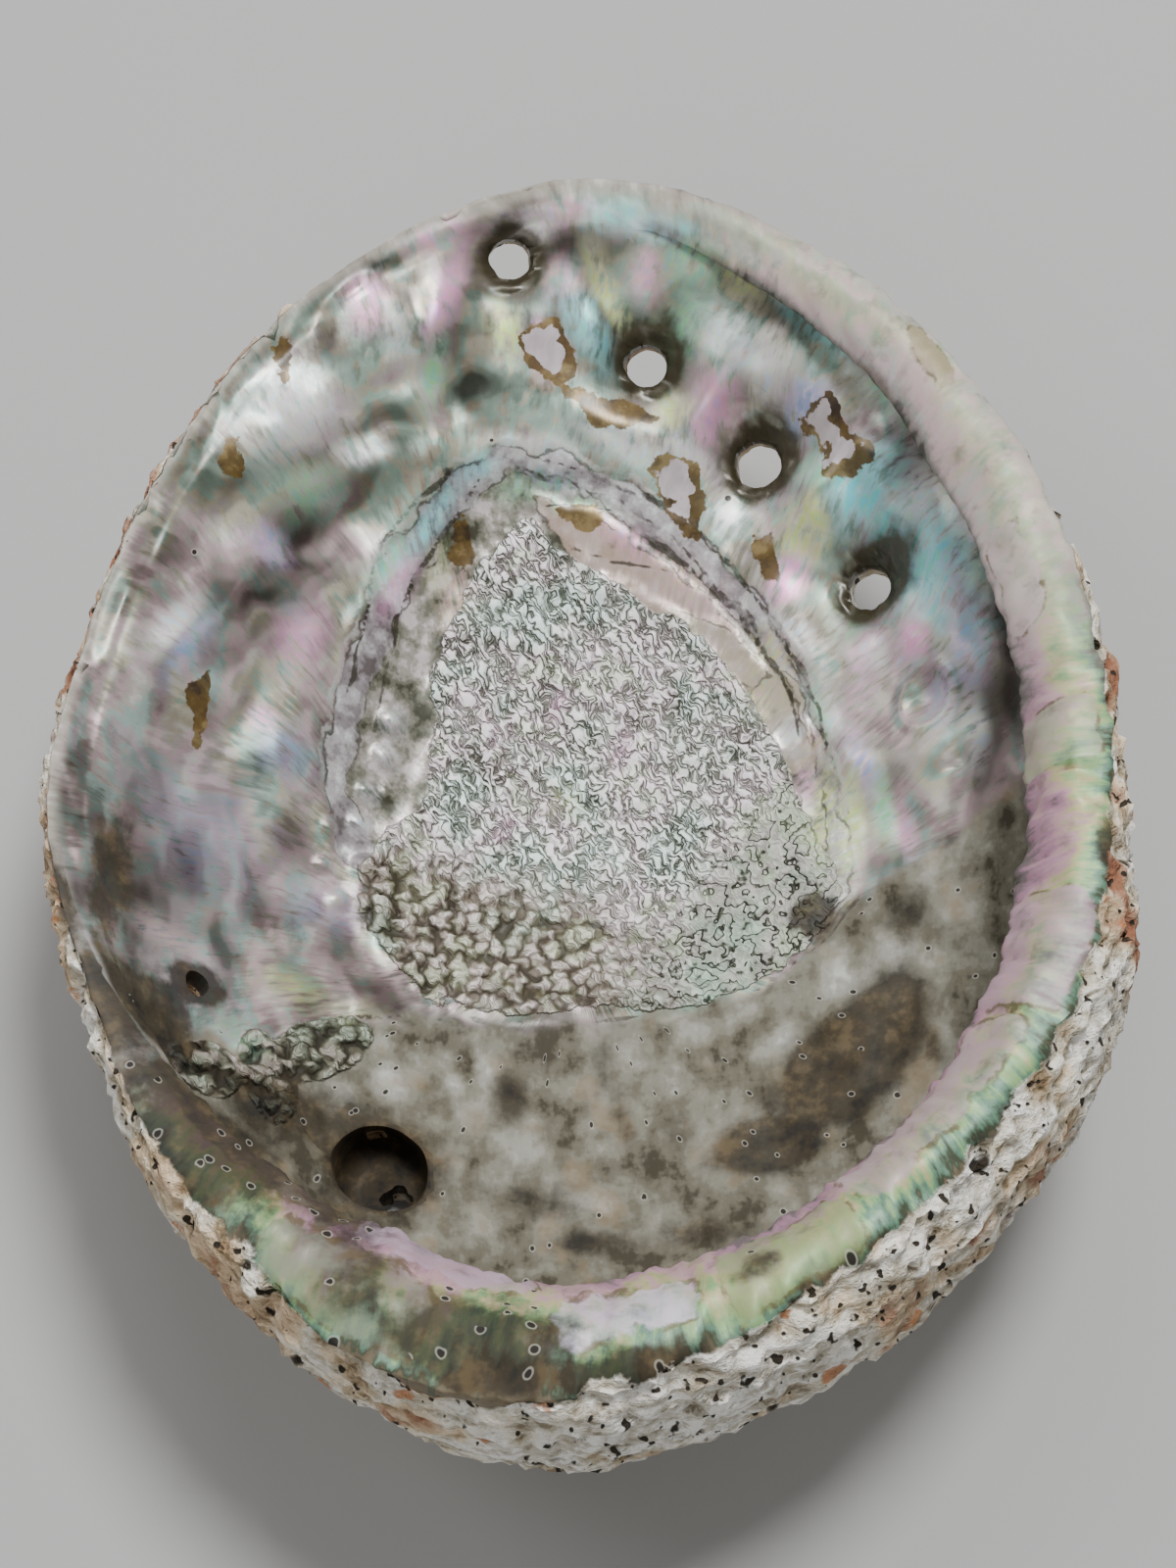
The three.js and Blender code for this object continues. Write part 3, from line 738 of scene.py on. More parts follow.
# Coloured flashes on the nacre, and pale ones that are partly painted highlights; each also lifts the
# nacre's tone as a painted highlight: x, y, width, height, tilt, colour, strength.
FLASHES = (
    (53, 41, 4.0, 12, 24, CYAN, 1.25), (59, 27, 2.5, 8, 8, BLUE, 0.6), (44, 54, 5, 4, -30, CYAN, 1.25),
    (52, 48, 3, 4, 10, SILVER_TINT_AND_HIGHLIGHT, 1.0), (57, 36, 1.6, 7, 14, LAVENDER, 0.8), (35.5, 68, 3, 3, 0, BLUE, 1.0),
    (33, 45, 2.5, 4.5, -30, PINK, 1.3), (35.5, 51, 3.5, 3.5, -40, LIME, 1.2),
    (38, 58, 4, 2.5, -30, MINT, 0.9),
    (24, 56, 4, 3, 0, SILVER_TINT_AND_HIGHLIGHT, 0.9), (16, 81, 4, 4, 0, MINT, 0.7), (22, 72, 4, 3, -30, PINK, 0.7),
    (30, 74, 5, 3.5, -35, SILVER_TINT_AND_HIGHLIGHT, 0.8), (52, 30, 2.5, 2.5, 0, PINK, 1.0), (46, 30, 2.5, 3, 0, SILVER_TINT_AND_HIGHLIGHT, 0.8),
    (56, 20, 2.2, 6, 0, LAVENDER, 0.6), (60, 14, 2, 6, 5, SILVER_TINT_AND_HIGHLIGHT, 0.6), (-24, 94, 5, 2.5, 20, PINK, 0.8),
    (5, 97, 5, 2, 0, CYAN, 0.8), (11, 90, 3, 3, 20, PINK, 0.7), (-8, 97, 5, 2, 10, SILVER_TINT_AND_HIGHLIGHT, 0.8),
    (17, 64, 4, 2.5, -25, SILVER_TINT_AND_HIGHLIGHT, 0.9), (-6, 79, 4, 3, -20, PINK, 1.0), (-12, 81, 2.5, 4, 20, LIME, 0.9),
    (0, 83, 3, 6, 35, CYAN, 0.8), (4, 88, 2, 5, 30, LIME, 0.7), (-3, 88, 3, 4, 20, PINK, 0.5),
    (16, 90, 8, 3, -10, GREEN, 0.55), (26, 86, 5, 3, -30, LIME, 0.5), (22, 79, 4, 5, -30, SILVER_TINT_AND_HIGHLIGHT, 0.6),
    (14, 71, 3, 3, 0, LIME, 0.7), (20, 69, 2, 5, -35, PINK, 0.8), (26, 76, 3, 3, 0, LAVENDER, 0.5),
    (-22, 84, 1.6, 8, -18, PINK, 0.9), (-24, 74, 1.6, 6, -14, GREEN, 0.8),
    (-26, 82, 1.2, 5, -25, STRAW, 0.7),
    (-34, 81, 3, 4, 0, PINK, 0.8), (-29, 77, 3, 4, 30, SILVER_TINT_AND_HIGHLIGHT, 0.6), (-46, 62, 8, 4.5, 40, SILVER_TINT_AND_HIGHLIGHT, 1.15),
    (-48, 68, 5, 2.5, 40, SILVER_TINT_AND_HIGHLIGHT, 0.9),
    (-43, 53, 6, 2.5, 40, GREEN, 0.5), (-36, 60, 4, 2, 20, SILVER_TINT_AND_HIGHLIGHT, 0.8),
    (-49, 43, 2.5, 2.5, 0, LAVENDER, 1.0),
    (-62, 24, 2, 6, -28, SILVER_TINT_AND_HIGHLIGHT, 1.0), (-60, 22, 1.5, 6, -28, BLUE, 0.6), (-44, 30, 3, 6, -20, PINK, 0.6),
    (-49, 16, 2, 2, 0, PINK, 0.8), (-46, 12, 4, 4, 0, BLUE, 0.4), (-25, 52, 1.6, 8, -35, CYAN, 0.75),
    (-29, 44, 2, 6, -25, PINK, 0.6), (-20, 43, 3, 5, 0, PEACH, 0.7), (-23, 47, 2, 4, 0, LIME, 0.5),
    (-5, 61.5, 4, 1.4, -8, TEAL, 1.0), (-10, 60, 4, 2, 20, GREEN, 0.5), (4, 55, 6, 2.5, -25, PEACH, 0.6),
    (18, 45, 8, 4, -35, ROSE, 0.75), (10, 51, 6, 2, -30, PINK, 0.4), (29, 29, 4, 5, 0, STRAW, 0.9),
    (37, 19, 2.5, 3, 0, PEACH, 0.7), (38, 8, 2.0, 7, -5, LIME, 0.95), (36, 13, 2, 3, 0, PINK, 0.5),
    (47, 6, 1.6, 6, 15, GREEN, 0.9), (44, 13, 1.6, 7, 20, LAVENDER, 0.9), (50, 2, 1.5, 5, 15, PINK, 0.6),
    (42, 36, 2.5, 6, 25, GREEN, 0.4), (45, 30, 3, 5, 0, PINK, 0.5), (8, 65, 8, 2.0, -22, SILVER_TINT_AND_HIGHLIGHT, 0.8),
    (34, 36, 2.0, 9, 35, SILVER_TINT_AND_HIGHLIGHT, 0.7), (39, 24, 1.6, 8, 12, SILVER_TINT_AND_HIGHLIGHT, 0.7), (-8, 66, 7, 1.6, 0, SILVER_TINT_AND_HIGHLIGHT, 0.7),
    (16, 47, 6, 2.5, -35, PEACH, 0.9), (31, 34, 2.5, 5, 30, STRAW, 0.9), (42, 5, 2, 8, -5, LIME, 1.1),
    (6, 54, 6, 2, -25, PINK, 0.7),
    (-1, 58, 5, 1.6, -8, GREEN, 0.8), (38, 24, 1.6, 7, 15, MINT, 0.7), (-31, 46, 1.6, 6, -30, MINT, 0.8),
    (-17, 62, 4, 1.5, 35, CYAN, 0.7),
    (-56, -3, 9, 10, 0, LAVENDER, 0.30), (-40, -10, 6, 4, 0, LAVENDER, 0.4),
    (-51, -36, 4, 3, 0, GREEN, 0.5),
    (-44, -25, 5, 3, 0, LIME, 0.45), (-60, -24, 5, 3, -20, ROSE, 0.5), (-36, -27, 4, 2, 20, LIME, 0.4),
    (14, 94, 10, 2.0, -16, CYAN, 0.6), (-2, 98, 8, 2, 0, PINK, 0.5), (40, 76, 9, 2.5, -40, CYAN, 0.55),
    (48, 66, 2.5, 8, 40, GREEN, 0.6), (-16, -28, 3, 2, 0, SILVER_TINT_AND_HIGHLIGHT, 0.4), (20, -23, 4, 2, 0, GREEN, 0.35),
    (33, 21, 3.0, 3.0, 0, SILVER_TINT_AND_HIGHLIGHT, 0.9), (-30, 22, 1.9, 1.9, 0, SILVER_TINT_AND_HIGHLIGHT, 0.9),
    (-31, 16.5, 1.7, 1.7, 0, SILVER_TINT_AND_HIGHLIGHT, 0.9),
    (-33.5, 10.5, 1.5, 1.5, 0, SILVER_TINT_AND_HIGHLIGHT, 0.9), (-34.5, 5, 1.6, 1.6, 0, SILVER_TINT_AND_HIGHLIGHT, 0.9),
    (6, 22, 3, 2, 30, PINK, 0.5), (-3, 27, 2, 4, 20, PINK, 0.6), (-3, 13, 3, 2.4, 0, LIME, 0.7),
    (-12, 7, 2, 3, -20, PINK, 0.6), (10, 12, 3, 2, 0, GREEN, 0.3), (-14, 24, 2, 3, 0, PINK, 0.35),
)
# Painted shade on the nacre: in the funnels, their trails, the hollows and the thin strip under the lip.
# x, y, width, height, tilt, strength.
SHADES = (
    (-12, 91, 8, 6, 10, 1.1), (-22, 94, 8, 2.5, 25, 0.8), (-4, 93, 6, 4, 10, 0.6),
    (9, 80.5, 10, 8.5, 0, 1.3),
    (2, 86, 9, 5, 35, 0.75), (16, 86, 9, 4, 10, 0.75), (28, 64.5, 6.0, 5, 0, 0.8), (26, 71, 5, 3, 20, 0.3),
    (45.5, 42, 5.5, 6.5, -30, 0.9), (42, 49, 3, 5, -35, 0.6), (51, 33, 2, 6, 30, 0.4),
    (-17, 73, 5, 8, -10, 0.8),
    (-15, 84, 4, 6, 0, 0.6), (-51, 35, 10, 8, 30, 0.6), (-44, 46, 12, 6, 35, 0.6),
    (-58, 50, 5, 8, -30, 0.6),
    (-36, 57, 12, 6, 25, 0.55), (-31, 66, 9, 6, 0, 0.45), (-54, 22, 7, 9, 0, 0.5), (-50, 29, 7, 9, 0, 0.45),
    (-43, 73, 7, 8, -20, 0.5), (61, 6, 3, 11, 0, 0.75), (55, 9, 3, 5, 30, 0.5), (65, 24, 2, 16, 5, 0.9),
    (62.5, 48, 1.3, 14, 22, 0.7), (53.5, 66, 1.5, 12, 38, 0.7), (40, 79, 6, 3, -42, 0.85),
    (33, 84, 7, 4, -35, 0.7),
    (47, 72, 4, 4, 0, 0.7), (-66, -2, 3, 14, 0, 0.5), (-34, 30, 2.5, 12, 10, 0.6), (-23, 36, 2, 8, -5, 0.8),
    (-36, 18, 3, 10, 5, 0.4), (47, -2, 5, 8, 20, 0.5), (-40, -18, 6, 3, 10, 0.6), (-28, -14, 5, 3, 20, 0.4),
    (-58, -10, 14, 16, 0, 0.45), (-64, -22, 8, 10, 0, 0.6), (-38, -13, 5, 10, 20, 0.5),
    (-26, -25, 10, 4, -20, 0.8), (-8, -26, 14, 3, 0, 0.8), (-29, 24, 3.5, 16, 8, 0.9),
    (-33, 38, 3, 8, -30, 0.6), (-26, 46, 3, 5, -30, 0.5),
)
# Brown stains: x, y, width, height, tilt, strength.
STAINS = (
    (40, -35, 12, 8, 35, 1.4), (28, -47, 9, 5, 10, 1.2), (46, -27, 7, 6, 40, 1.1),
    (-56.3, -29.7, 3.6, 3.6, 0, 1.2), (4, -32, 3, 8, 0, 0.5),
    (-34, -46, 9, 5, 20, 0.7), (-62, -40, 7, 10, 0, 1.0), (-54, -57, 10, 8, 0, 1.05),
    (-40, -70, 10, 5, -30, 0.9), (36, -9, 4, 4.5, 0, 0.9),
    (-29.5, -52.5, 8.5, 8.5, 0, 1.3), (-68, -18, 3.5, 14, 0, 0.8), (-24, -10, 9, 6, 0, 0.30),
    (-6, -20, 16, 3, 0, 0.45),
    (-46, -16, 5, 4, 0, 0.5), (-6, -56, 10, 5, 0, 0.5), (20, -62, 12, 4, 0, 0.5), (50, -12, 5, 6, 0, 0.55),
    (-70, -40, 5, 12, 0, 0.9), (-42, -62, 9, 5, -30, 0.7), (14, -44, 4, 5, 0, 0.45),
    (-11, -38, 4, 6, 0, 0.6), (2, -63, 10, 3, 0, 0.6),
    (-48, -47, 4, 8, 30, 0.7), (52, -34, 3, 5, 0, 0.5), (-42, -46, 9, 7, 20, 0.75),
    (-34, -62, 10, 5, 0, 0.65),
    (6, -40, 2.5, 9, 8, 0.55),
)
# Pale patches of the lower wall: x, y, width, height, tilt, strength.
PALE_PATCHES = (
    (-14.7, -34, 2.2, 6, 5, 1.0), (-29, -36, 4, 4, 0, 0.9), (-9, -46, 4, 5, 0, 0.8),
    (-37, -41, 2.5, 6, 20, 0.8),
    (29, -30, 4, 2.5, 30, 1.0), (26, -44, 3, 3, 0, 0.7), (20, -26, 6, 2, 15, 0.8), (39, -20, 5, 5, 0, 0.8),
    (6, -31, 6, 4, 0, 0.6), (-4, -36, 5, 3, 0, 0.5), (2, -56, 6, 3, 0, 0.5), (48, -18, 4, 5, 0, 0.6),
    (-19, -36, 2, 4, 10, 0.9), (-31, -31, 3, 3, 0, 0.9), (-52, -42, 4, 4, 0, 0.9), (12, -36, 3, 6, 0, 0.6),
)
# Panels of the lip where a later layer starts or ends: degrees from, to, place from, to; colour; step in mm.
LIP_PANELS = (
    ((268, 282, 8.4, 9.35), (0.74, 0.66, 0.80), -0.35),
    ((246, 266, 6.6, 8.5), (0.56, 0.42, 0.52), 0.3),
    ((328, 344, 7.6, 9.7), (0.50, 0.34, 0.40), 0.6),
    ((300, 327, 7.9, 9.2), (0.50, 0.40, 0.40), 0.2),
    ((239, 257, 8.7, 9.9), (0.20, 0.24, 0.16), -0.3),
    ((284, 299, 8.3, 9.8), (0.30, 0.38, 0.16), 0.3),
    ((20, 34, 7.8, 8.9), (0.60, 0.50, 0.50), 0.2),
    ((49, 57, 9.0, 9.9), (0.34, 0.27, 0.15), -0.3),
    ((0, 9, 7.4, 9.6), (0.40, 0.44, 0.30), 0.25),
    ((214, 245, 6.0, 8.6), (0.13, 0.125, 0.07), 0.0),
)
# Stains on the lip: degrees, place, width in degrees, height in places, strength.
LIP_STAINS = (
    (262, 9.5, 9, 0.75, 1.1), (274, 9.8, 7, 0.4, 0.9), (249, 9.2, 5, 0.8, 0.6), (350, 9.9, 3.5, 0.45, 1.0),
    (288, 9.0, 3, 0.35, 0.7), (243, 8.2, 9, 1.3, 0.6), (226, 8.4, 14, 2.0, 1.0), (296, 9.9, 5, 0.4, 0.6),
    (192, 9.3, 8, 1.0, 0.75), (206, 8.6, 8, 1.8, 1.0),
)


def darkest(x, y, dabs):
    strength = 0 * x
    for place_x, place_y, wide, tall, tilt, amount in dabs:
        strength = np.maximum(strength, amount * dab(x, y, place_x, place_y, wide, tall, tilt))
    return strength


def paint_masks(shell):
    """Stores what lies where on the wall, point by point, for the material to read."""
    mesh = shell.data
    points = read_vectors(mesh, "co") / MM
    turn, along = place_on_skin(points)
    x, y, z = points.T
    angle = 360 * turn
    on_edge = 2.2 * (1 - thick_side(angle))
    bowl = 1 - ease(along, 5.6 + on_edge, 6.6 + on_edge)
    in_bowl = bowl > 0.3
    wobble = grain(points, 5.0, 2, 3.0) * 1.3

    def distance(outline, sway=0.6):
        gap = np.full(len(x), -20.0)
        gap[in_bowl] = inside_outline(x[in_bowl], y[in_bowl], outline) + sway * wobble[in_bowl]
        return np.clip(gap, -20, 20)

    store(mesh, "scar", distance(SCAR_OUTLINE, 1.0))
    store_four(mesh, "plates", [distance(outline) for outline, _ in PLATES])
    crease = inside_outline(x, y + 0.5 * wobble, CREASE, closed=False)
    store(mesh, "crease", np.where(in_bowl, crease, 20.0))
    layer_gap = np.min([inside_outline(x + 0.5 * wobble, y + 0.4 * wobble, line,
                                       closed=False) for line in LAYER_LINES], 0)
    store(mesh, "layer_line", np.where(in_bowl, layer_gap, 20.0))
    whole = np.max([distance(outline, 0.2) for outline in AMBER_WINDOWS], 0)
    rimmed = np.max([distance(outline, 0.2) for outline in RIMMED_WINDOWS], 0)
    store(mesh, "amber", np.maximum(whole, rimmed))
    # The film is thickest at the lower right of each window.
    core = np.max([inside_outline(x + 1.3, y - 1.3, outline) for outline in RIMMED_WINDOWS], 0)
    store(mesh, "bare_core", np.minimum(core, rimmed + 0.5) + 1.4 * grain(points, 2.6, 2, 8.0))
    crease_line = np.interp(x, (-75, -60, -48, -37, -26, 0, 28, 43, 62),
                            (-24, -36, -37, -29, -25, -25, -20, -7, 2))
    store(mesh, "low_wall", bowl * ease(crease_line - y + 2.0 * grain(points, 7.0, 3, 6.0), -2.0, 3.0))
    store(mesh, "rugged", rugged_patches(x, y) * bowl)
    knobby, flaky = scar_mix(x, y)
    store(mesh, "knobby", knobby)
    store(mesh, "flaky", flaky)

    in_pit = (np.hypot(x - SPIRE[0], y - SPIRE[1]) < PIT_RADIUS + 0.3) & (z > 1.0)
    bare = (along < 8.4) | in_pit
    store(mesh, "crust", np.clip(np.where(bare, -20, crust_share(points, turn, along)), -20, 20))
    thick = thick_side(angle)
    store(mesh, "lip", ease(along, 6.0, 6.9) * thick)
    store(mesh, "pearly", ease(angle, 2, 34) * (angle < 200))
    store(mesh, "edge", ease(along, 8.0, 9.1) * (1 - thick))
    across = np.clip((along - 6.4) / (10.4 - 6.4), 0, 1)
    store(mesh, "lip_place",
          across + 0.22 * grain(np.stack([angle * 1.5, along * 3, 0 * along], -1), 15.0, 3, 4.0))
    panel = np.full(len(x), -20.0)
    shade_of_panel = np.zeros((len(x), 3))
    for (start, end, inner, outer), colour, _ in LIP_PANELS:
        gap = panel_gap(angle, along, start, end, inner, outer) + 0.5 * wobble
        shade_of_panel = np.where((gap > panel)[:, None], colour, shade_of_panel)
        panel = np.maximum(panel, gap)
    store_four(mesh, "panel", [shade_of_panel, np.where(along < 10.3, panel, -20)])

    # Painted shade for the nacre and its plates, from the list of shades.
    store(mesh, "shade", darkest(x, y, SHADES) * (1 - ease(along, 6.0 + on_edge, 7.0 + on_edge)))
    # Round each breathing hole the nacre darkens: part stain, part painted shade in the funnel.
    hole_stain_and_shade = 0 * x
    for hole_x, hole_y, bore, _, reach, _ in HOLES:
        gap = np.maximum(np.hypot(x - hole_x - 0.6, y - hole_y) - bore / 2, 0) / (0.36 * reach)
        hole_stain_and_shade = np.maximum(hole_stain_and_shade, np.exp(-(gap**1.4)))
    store(mesh, "hole_stain_and_shade", hole_stain_and_shade * (1 - ease(along, 6.0 + on_edge, 7.0 + on_edge)))
    store(mesh, "pale", darkest(x, y, PALE_PATCHES))
    lip_stain = 0 * x
    for place_turn, place_along, wide, tall, amount in LIP_STAINS:
        lip_stain = np.maximum(lip_stain, amount * dab(angle, along, place_turn, place_along, wide, tall))
    stain = np.where(in_bowl, darkest(x, y, STAINS) * bowl, lip_stain)
    store(mesh, "stain", np.where(in_pit, 1.6, stain))

    tint = np.zeros((len(x), 3))
    weight = np.full(len(x), 1e-4)
    strongest = 0 * x
    for place_x, place_y, wide, tall, tilt, colour, amount in FLASHES:
        here = amount * dab(x, y, place_x, place_y, wide, tall, tilt)
        tint += here[:, None] ** 3 * np.array(colour)
        weight += here**3
        strongest = np.maximum(strongest, here)
    strongest *= 1 - ease(along, 6.4 + on_edge, 7.4 + on_edge)
    store_four(mesh, "flash", [tint / weight[:, None], strongest])

    # How far each place turns away from the camera's direction. The nacre's painted sheen reads it, so that
    # its hue is painted for one viewpoint, though it stays put when the camera moves.
    store(mesh, "lean", 1 - np.clip(read_vectors(mesh, "normal") @ np.array(CAMERA_SIDE), 0, 1))

    # Slow clouds, from wide to narrow, and the light and dark bands of the nacre, which stand partly for
    # painted fold highlights and shade.
    clouds = [grain(points, size, 3, size) for size in (26.0, 13.0, 8.0)]
    reach = np.hypot(x - POLE[0], y - POLE[1])
    turned = np.radians(angle)
    ringwise = np.column_stack([np.cos(turned) * 30, np.sin(turned) * 30, 1.1 * (reach + 2.5 * clouds[1])])
    bands = 1 - 2.4 * np.abs(grain(ringwise, 13.0, 3, 2.0))
    store_four(mesh, "drift",
               [clouds[0], clouds[1], clouds[2], 0.6 * bands + 0.7 * grain(ringwise, 8.0, 3, 5.0)])
    # Coordinates that follow the shell: round it, and outwards. They meet under the dark rear corner.
    around = np.radians((angle - DARK_CORNER) % 360) * WAY_RADIUS
    outwards = reach + 0.7 * z
    bend = [grain(points, size, 1, size) for size in (30.0, 17.0)]
    store_four(mesh, "way",
               [around + 5.0 * bend[0] + 2.0 * bend[1], outwards + 6.0 * bend[1], outwards, around])
    store(mesh, "growth", (np.hypot(x + 34, y + 50) + 2.0 * clouds[1]) / 6.5)
    # Brick-red growths on the outside, mostly along the left, the front and the right edge.
    edge_red = np.interp(angle, (0, 12, 30, 40, 50, 70, 100, 125, 150, 178, 190, 250, 325, 345, 360),
                         (0.28, 0.32, 0.2, 0.4, 0.15, 0.1, 0.2, 0.85, 0.95, 0.65, 0.1, -0.1, 0.0, 0.3,
                          0.28))
    store(mesh, "tan", np.interp(angle, (0, 40, 120, 180, 200, 215, 245, 262, 300, 345, 360),
                                 (0.3, 0.1, 0.5, 0.45, 0.5, 0.55, 0.4, -0.1, -0.1, 0.2, 0.3)))
    store(mesh, "red",
          edge_red * ease(along, 8.5, 9.3) + 0.7 * clouds[1] + np.where(along > BACK_TOP, 0.15, 0))


# ---- Properties ----


class AbaloneSettings(bpy.types.PropertyGroup):
    """Sizes and colours of the shell."""

    smooth_angle: bpy.props.FloatProperty(
        name="Smooth angle", description="Edges sharper than this stay crisp", default=math.radians(60),
        subtype="ANGLE"
    )
    # The bright nacre tone is also the nacre's painted highlight; the dark nacre tone is also its painted
    # shade.
    silver_and_highlight: bpy.props.FloatVectorProperty(
        name="Silver nacre", description="Bright mother-of-pearl", size=3, subtype="COLOR",
        default=(0.80, 0.82, 0.83)
    )
    dusk_and_shade: bpy.props.FloatVectorProperty(
        name="Dark nacre", description="Mother-of-pearl in its dark hollows", size=3, subtype="COLOR",
        default=(0.035, 0.030, 0.024)
    )
    scar: bpy.props.FloatVectorProperty(
        name="Scar", description="The muscle scar's crests", size=3, subtype="COLOR",
        default=(0.68, 0.68, 0.65)
    )
    chalk: bpy.props.FloatVectorProperty(
        name="Chalk", description="The outside's chalky crust", size=3, subtype="COLOR",
        default=(0.58, 0.54, 0.46)
    )


class StageSettings(bpy.types.PropertyGroup):
    """The floor, the lights and the camera."""

    floor: bpy.props.FloatVectorProperty(
        name="Floor", description="Colour of the floor", size=3, subtype="COLOR",
        default=(0.46, 0.46, 0.455)
    )
    lens: bpy.props.FloatProperty(name="Lens", description="Focal length of the camera in mm",
                                  default=67.95)
    distance: bpy.props.FloatProperty(
        name="Distance", description="Camera to the shell", default=0.45, unit="LENGTH"
    )
    elevation: bpy.props.FloatProperty(
        name="Elevation", description="How far the camera looks down", default=math.radians(60),
        subtype="ANGLE"
    )


# ---- Material ----


class Sketch:
    """Places and links shader nodes in one tree."""

    def __init__(self, tree):
        self.tree = tree
        self.count = 0

    def node(self, kind, **values):
        made = self.tree.nodes.new(kind)
        made.location = (220 * (self.count % 12), -260 * (self.count // 12))
        self.count += 1
        for name, value in values.items():
            setattr(made, name, value)
        return made

    def feed(self, socket, value):
        if isinstance(value, bpy.types.NodeSocket):
            self.tree.links.new(value, socket)
        elif value is not None:
            if isinstance(value, (tuple, list)) and len(value) == 3 and socket.type == "RGBA":
                value = (*value, 1)
            socket.default_value = value

    def math(self, operation, first, second=None, third=None, clamp=False):
        made = self.node("ShaderNodeMath", operation=operation, use_clamp=clamp)
        for socket, value in zip(made.inputs, (first, second, third)):
            self.feed(socket, value)
        return made.outputs[0]

    def times(self, first, second, clamp=False):
        return self.math("MULTIPLY", first, second, clamp=clamp)

    def plus(self, first, second, clamp=False):
        return self.math("ADD", first, second, clamp=clamp)

    def minus(self, first, second, clamp=False):
        return self.math("SUBTRACT", first, second, clamp=clamp)

    def most(self, first, second):
        return self.math("MAXIMUM", first, second)

    def size(self, value):
        return self.math("ABSOLUTE", value)

    def swing(self, value, amount):
        """A noise's swing about its middle, 0.5, made amount times as large."""
        return self.times(self.minus(value, 0.5), amount)

    def fit(self, value, low, high, out_low=0.0, out_high=1.0, smooth=True):
        made = self.node("ShaderNodeMapRange", interpolation_type="SMOOTHSTEP" if smooth else "LINEAR")
        for socket, item in zip(made.inputs, (value, low, high, out_low, out_high)):
            self.feed(socket, item)
        return made.outputs[0]

    def blend(self, share, first, second, kind="MIX"):
        made = self.node("ShaderNodeMix", data_type="RGBA", blend_type=kind)
        self.feed(made.inputs[0], share)
        self.feed(made.inputs[6], first)
        self.feed(made.inputs[7], second)
        return made.outputs[2]

    def blend_value(self, share, first, second):
        made = self.node("ShaderNodeMix", data_type="FLOAT")
        self.feed(made.inputs[0], share)
        self.feed(made.inputs[2], first)
        self.feed(made.inputs[3], second)
        return made.outputs[0]

    def noise(self, where, scale, detail=3.0, roughness=0.55, dimensions="3D", output=0):
        made = self.node("ShaderNodeTexNoise", noise_dimensions=dimensions)
        self.feed(made.inputs["Vector"], where)
        self.feed(made.inputs["Scale"], scale)
        self.feed(made.inputs["Detail"], detail)
        self.feed(made.inputs["Roughness"], roughness)
        return made.outputs[output]

    def three_noises(self, where, scale, detail, roughness, dimensions="3D"):
        """Three unlike noises for little more than the price of one."""
        return self.channels(self.noise(where, scale, detail, roughness, dimensions, "Color"))

    def channels(self, colour):
        made = self.node("ShaderNodeSeparateXYZ")
        self.feed(made.inputs[0], colour)
        return tuple(made.outputs)

    def cells(self, where, scale, dimensions="3D"):
        made = self.node("ShaderNodeTexVoronoi", voronoi_dimensions=dimensions)
        self.feed(made.inputs["Vector"], where)
        self.feed(made.inputs["Scale"], scale)
        return made.outputs["Distance"]

    def total(self, *parts):
        """The sum of values, each times its weight."""
        sum_so_far = 0.0
        for value, weight in parts:
            made = self.node("ShaderNodeMath", operation="MULTIPLY_ADD")
            for socket, item in zip(made.inputs, (value, weight, sum_so_far)):
                self.feed(socket, item)
            sum_so_far = made.outputs[0]
        return sum_so_far

    def squeeze(self, where, scale, turn=0.0):
        """Turns a pattern's coordinates about Z, in degrees, then scales them."""
        if turn:
            made = self.node("ShaderNodeVectorRotate", rotation_type="Z_AXIS")
            self.feed(made.inputs["Vector"], where)
            made.inputs["Angle"].default_value = math.radians(turn)
            where = made.outputs[0]
        made = self.node("ShaderNodeVectorMath", operation="MULTIPLY")
        self.feed(made.inputs[0], where)
        made.inputs[1].default_value = scale
        return made.outputs[0]

    def ramp(self, value, stops, mode="EASE"):
        made = self.node("ShaderNodeValToRGB")
        made.color_ramp.interpolation = mode
        while len(made.color_ramp.elements) < len(stops):
            made.color_ramp.elements.new(0.5)
        for element, (place, colour) in zip(made.color_ramp.elements, stops):
            element.position = place
            element.color = (*colour, 1)
        self.feed(made.inputs[0], value)
        return made.outputs[0]

    def mask(self, name, output="Fac"):
        if self.tree.type == "GEOMETRY":
            made = self.node("GeometryNodeInputNamedAttribute", data_type="FLOAT")
            made.inputs["Name"].default_value = name
            return made.outputs["Attribute"]
        made = self.node("ShaderNodeAttribute", attribute_name=name)
        return made.outputs[output]


